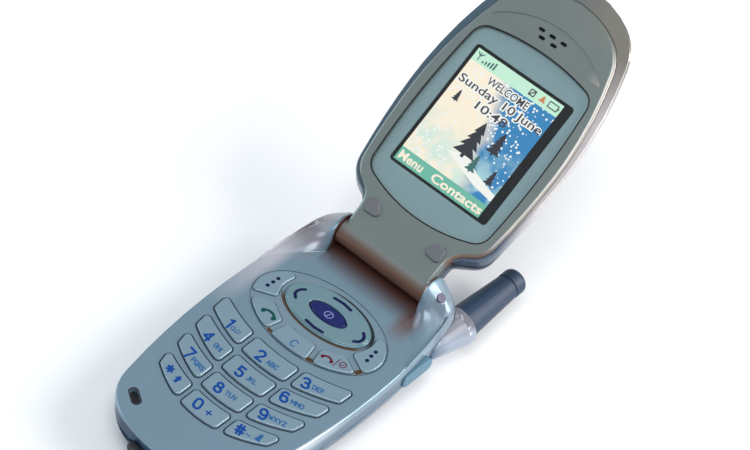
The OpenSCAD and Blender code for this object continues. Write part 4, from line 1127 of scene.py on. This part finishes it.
def screen_picture():
    """Snow weather: a cream sky that turns deep blue to the right, and falling flakes."""
    cream, blue = srgb((252, 240, 216)), srgb((34, 128, 186))
    haze, flake = srgb((190, 232, 226)), srgb((240, 248, 250))
    f = lit("screen_picture")
    x, y, _ = f.lid_mm()
    middle_y = 36
    front = x + (y - middle_y) * 0.3 + 7 * (f.noise(170, 4) - 0.5)
    sky = f.mix(front.ramp(-1.0, 3.0), cream, blue)
    low = (middle_y - y).ramp(-2, 8)
    sky = f.mix(low * f.noise(260, 3).ramp(0.42, 0.62) * 0.7, sky, haze)
    cells = f.node("ShaderNodeTexVoronoi", {}, {"Vector": f.place(), "Scale": 1000.0})
    flakes = cells.below(0.3) * f.noise(140, 2).above(0.46)
    f.set(Emission_Color=f.mix(flakes, sky, flake))
    return f.mat


def lit_display():
    """The picture and, over it, all that stands on the display as one piece."""
    sunk = Matrix.Translation((0, 0, SCREEN_DEEP))
    picture = flat_piece([box_outline(SCREEN_LEFT, SCREEN_RIGHT, SCREEN_FOOT, SCREEN_TOP)], 0, SKY_HIGH)
    paint(picture, screen_picture())
    picture.data.transform(sunk)
    settle(picture, LID, "display_picture", "lid")
    looks = {name: glow("display_" + name, colour) for name, colour in SCREEN_COLOURS.items()}
    parts = display_scene() + display_bars() + display_lines()
    for obj, look in parts:
        paint(obj, looks[look])
    whole = join([obj for obj, _ in parts])
    whole.data.transform(sunk)
    settle(whole, LID, "display_icons", "lid")


# ---- the stage ----

# places and sizes on the stage are in metres
FLOOR_SIZE = 6
FLOOR_TONES = ((0.86, 0.87, 0.88, 1), (0.9, 0.9, 0.9, 1))
SKY_COLOUR, SKY_STRENGTH = (0.93, 0.96, 1.0, 1), 0.42
# name, place, aim, size, watts and colour of each lamp
LAMPS = (("key_light", (0.66, 0.46, 0.44), (0, 0.02, 0.02), 0.6, 9.0, (1, 0.97, 0.95)),
         ("top_light", (0.15, -0.25, 1.0), (0, 0, 0.02), 0.6, 5.0, (0.96, 0.98, 1)),
         ("side_light", (-0.7, -0.2, 0.35), (0, 0, 0.02), 0.5, 2.0, (0.7, 0.88, 1)))
CAMERA_AT = (0.283385, -0.362864, 0.554321)
CAMERA_TURN = (42.48311, -5.59068, 42.0407)     # degrees about x, y and z
CAMERA_LENS, CAMERA_SENSOR = 153.6, 36          # millimetres
CAMERA_CLIP = (0.05, 20)


def add_floor():
    deselect()
    bpy.ops.mesh.primitive_plane_add(size=FLOOR_SIZE, location=(0, 0, 0))
    floor = bpy.context.active_object
    floor.name = "floor"
    f = Finish("pale_floor", Roughness=0.8, Specular_IOR_Level=0.2)
    f.set(Base_Color=f.mix(f.noise(30, 3), *FLOOR_TONES))
    paint(floor, f.mat)


def add_sky(scene):
    world = bpy.data.worlds.new("studio")
    world.use_nodes = True
    sky = world.node_tree.nodes["Background"]
    sky.inputs["Color"].default_value, sky.inputs["Strength"].default_value = SKY_COLOUR, SKY_STRENGTH
    scene.world = world


def add_lamp(name, at, aim, size, watts, colour):
    deselect()
    bpy.ops.object.light_add(type="AREA", location=at)
    lamp = bpy.context.active_object
    lamp.name = name
    lamp.data.size, lamp.data.energy, lamp.data.color = size, watts, colour
    lamp.rotation_euler = (Vector(aim) - Vector(at)).to_track_quat("-Z", "Y").to_euler()


def add_camera(scene):
    deselect()
    bpy.ops.object.camera_add(location=CAMERA_AT, rotation=[math.radians(a) for a in CAMERA_TURN])
    cam = bpy.context.active_object
    cam.data.lens, cam.data.sensor_width = CAMERA_LENS, CAMERA_SENSOR
    cam.data.clip_start, cam.data.clip_end = CAMERA_CLIP
    scene.camera = cam


# ---- operators, panel and registration ----

SHELL = 55              # least angle, in degrees, of a shell's edges that are eased
# finishes of the pieces inside, which keep their own shape
INSIDE = {
    "black": ("io_connector", "microphone", "headset_jack", "hinge_bush", "earpiece", "ringer"),
    "steel": ("case_screws", "hinge_module", "vibration_motor", "lid_magnet", "lid_screws"),
    "silicone": ("keypad_mat", "nav_actuator"), "board": ("main_board", "lid_board"),
    "gold": ("battery_contacts", "antenna_core"), "dome": ("dome_sheet",), "can": ("shield_cans",),
    "beige": ("sim_holder",), "copper": ("hinge_flex",), "display_black": ("outer_display",),
}


class PHONE_OT_stage(bpy.types.Operator):
    """Sets the floor, the lights and the camera"""
    bl_idname = "phone.stage"
    bl_label = "Stage"

    def execute(self, context):
        context.scene.view_settings.view_transform = "Standard"
        add_floor()
        add_sky(context.scene)
        for lamp in LAMPS:
            add_lamp(*lamp)
        add_camera(context.scene)
        return {"FINISHED"}


class PHONE_OT_base(bpy.types.Operator):
    """Finishes the covers, battery and side pieces of the base"""
    bl_idname = "phone.base"
    bl_label = "Base covers"

    def execute(self, context):
        dress("front_cover", BASE, "front_shell", "base", "cover", 0.1, least=SHELL)
        dress("rear_cover", BASE, "rear_shell", "base", "back", 0.08, least=SHELL)
        dress("battery_pack", BASE, "battery_shell", "battery", "back", 0.15, least=SHELL)
        dress("battery_latch", BASE, "latch_slider", "latch", "back", 0.12)
        dress("volume_key", BASE, "volume_rocker", "volume", "back", 0.25, segments=3)
        dress("jack_cover", BASE, "jack_plug_cover", "jack_flap", "cyan_rubber", 0.3, segments=3)
        dress("io_cover", BASE, "connector_cover", "connector_flap", "black_rubber", 0.3, segments=3)
        dress("ear_plug", BASE, "ear_cap", "base", "plug", 0.12)
        rib_end_shadows()
        painted_well_shade()
        microphone_rim()
        return {"FINISHED"}


class PHONE_OT_antenna(bpy.types.Operator):
    """Finishes the antenna's sleeve and tip"""
    bl_idname = "phone.antenna"
    bl_label = "Antenna"

    def execute(self, context):
        dress("antenna_sleeve", BASE, "antenna_stub", "base", "antenna", 0.2)
        dress("antenna_cap", BASE, "antenna_tip", "base", "antenna", 0.15)
        return {"FINISHED"}


class PHONE_OT_keys(bpy.types.Operator):
    """Rounds the key tops and prints their legends"""
    bl_idname = "phone.keys"
    bl_label = "Keys and legends"

    def execute(self, context):
        sizes = context.scene.phone_sizes
        for key in [*DIGITS, *FUNCTION_KEYS]:
            key_cap(key, sizes.key_round / MM)
        oval_top("nav_ring", "ring_key", "ring_top", "ring", 0.18)
        oval_top("centre_key", "centre_key_body", "centre_top", "navy", 0.12)
        key_legends(sizes)
        function_legends()
        return {"FINISHED"}


class PHONE_OT_lid(bpy.types.Operator):
    """Finishes the lid's two covers, bumpers and rear window"""
    bl_idname = "phone.lid"
    bl_label = "Lid covers"

    def execute(self, context):
        dress("lid_inner_cover", LID, "lid_inner_shell", "lid", "lid_inside", 0.08, least=SHELL)
        dress("lid_outer_cover", LID, "lid_outer_shell", "lid", "lid_outside", 0.1, least=SHELL)
        bumper_pads()
        dress("outer_window", LID, "rear_window", "lid", "window", 0.15, segments=3)
        return {"FINISHED"}


class PHONE_OT_screen(bpy.types.Operator):
    """Finishes the lens and its printed frame, and lights the display"""
    bl_idname = "phone.screen"
    bl_label = "Screen"

    def execute(self, context):
        dress("screen_lens", LID, "lens_plate", "lid", "lens", 0.12)
        dress("screen_mask", LID, "lens_frame", "lid", "mask", 0)
        dress("display_module", LID, "display_glass", "lid", "display_black", 0.1)
        lens_gasket()
        lit_display()
        return {"FINISHED"}


class PHONE_OT_inner(bpy.types.Operator):
    """Gives the pieces inside the phone their finishes"""
    bl_idname = "phone.inner"
    bl_label = "Inner pieces"

    def execute(self, context):
        for finish, nodes in INSIDE.items():
            for node in nodes:
                paint(frame["nodes"][node], FINISH[finish])
        return {"FINISHED"}


class PHONE_PT_panel(bpy.types.Panel):
    bl_label = "Flip phone"
    bl_space_type = "VIEW_3D"
    bl_region_type = "UI"
    bl_category = "Phone"

    def draw(self, context):
        for group in (context.scene.phone_colours, context.scene.phone_sizes):
            box = self.layout.box()
            for key in group.bl_rna.properties.keys():
                if key not in ("rna_type", "name"):
                    box.prop(group, key)
        for op in STEPS:
            self.layout.operator(op.bl_idname)


STEPS = (PHONE_OT_stage, PHONE_OT_base, PHONE_OT_antenna, PHONE_OT_keys, PHONE_OT_lid, PHONE_OT_screen,
         PHONE_OT_inner)
CLASSES = (PhoneColours, PhoneSizes) + STEPS + (PHONE_PT_panel,)


def register():
    for c in CLASSES:
        bpy.utils.register_class(c)
    bpy.types.Scene.phone_colours = bpy.props.PointerProperty(type=PhoneColours)
    bpy.types.Scene.phone_sizes = bpy.props.PointerProperty(type=PhoneSizes)


def unregister():
    del bpy.types.Scene.phone_sizes
    del bpy.types.Scene.phone_colours
    for c in reversed(CLASSES):
        bpy.utils.unregister_class(c)


def main():
    register()
    make_finishes(bpy.context.scene.phone_colours)
    for step in STEPS:
        area, name = step.bl_idname.split(".")
        getattr(getattr(bpy.ops, area), name)()
    deselect()


if __name__ == "__main__":
    main()
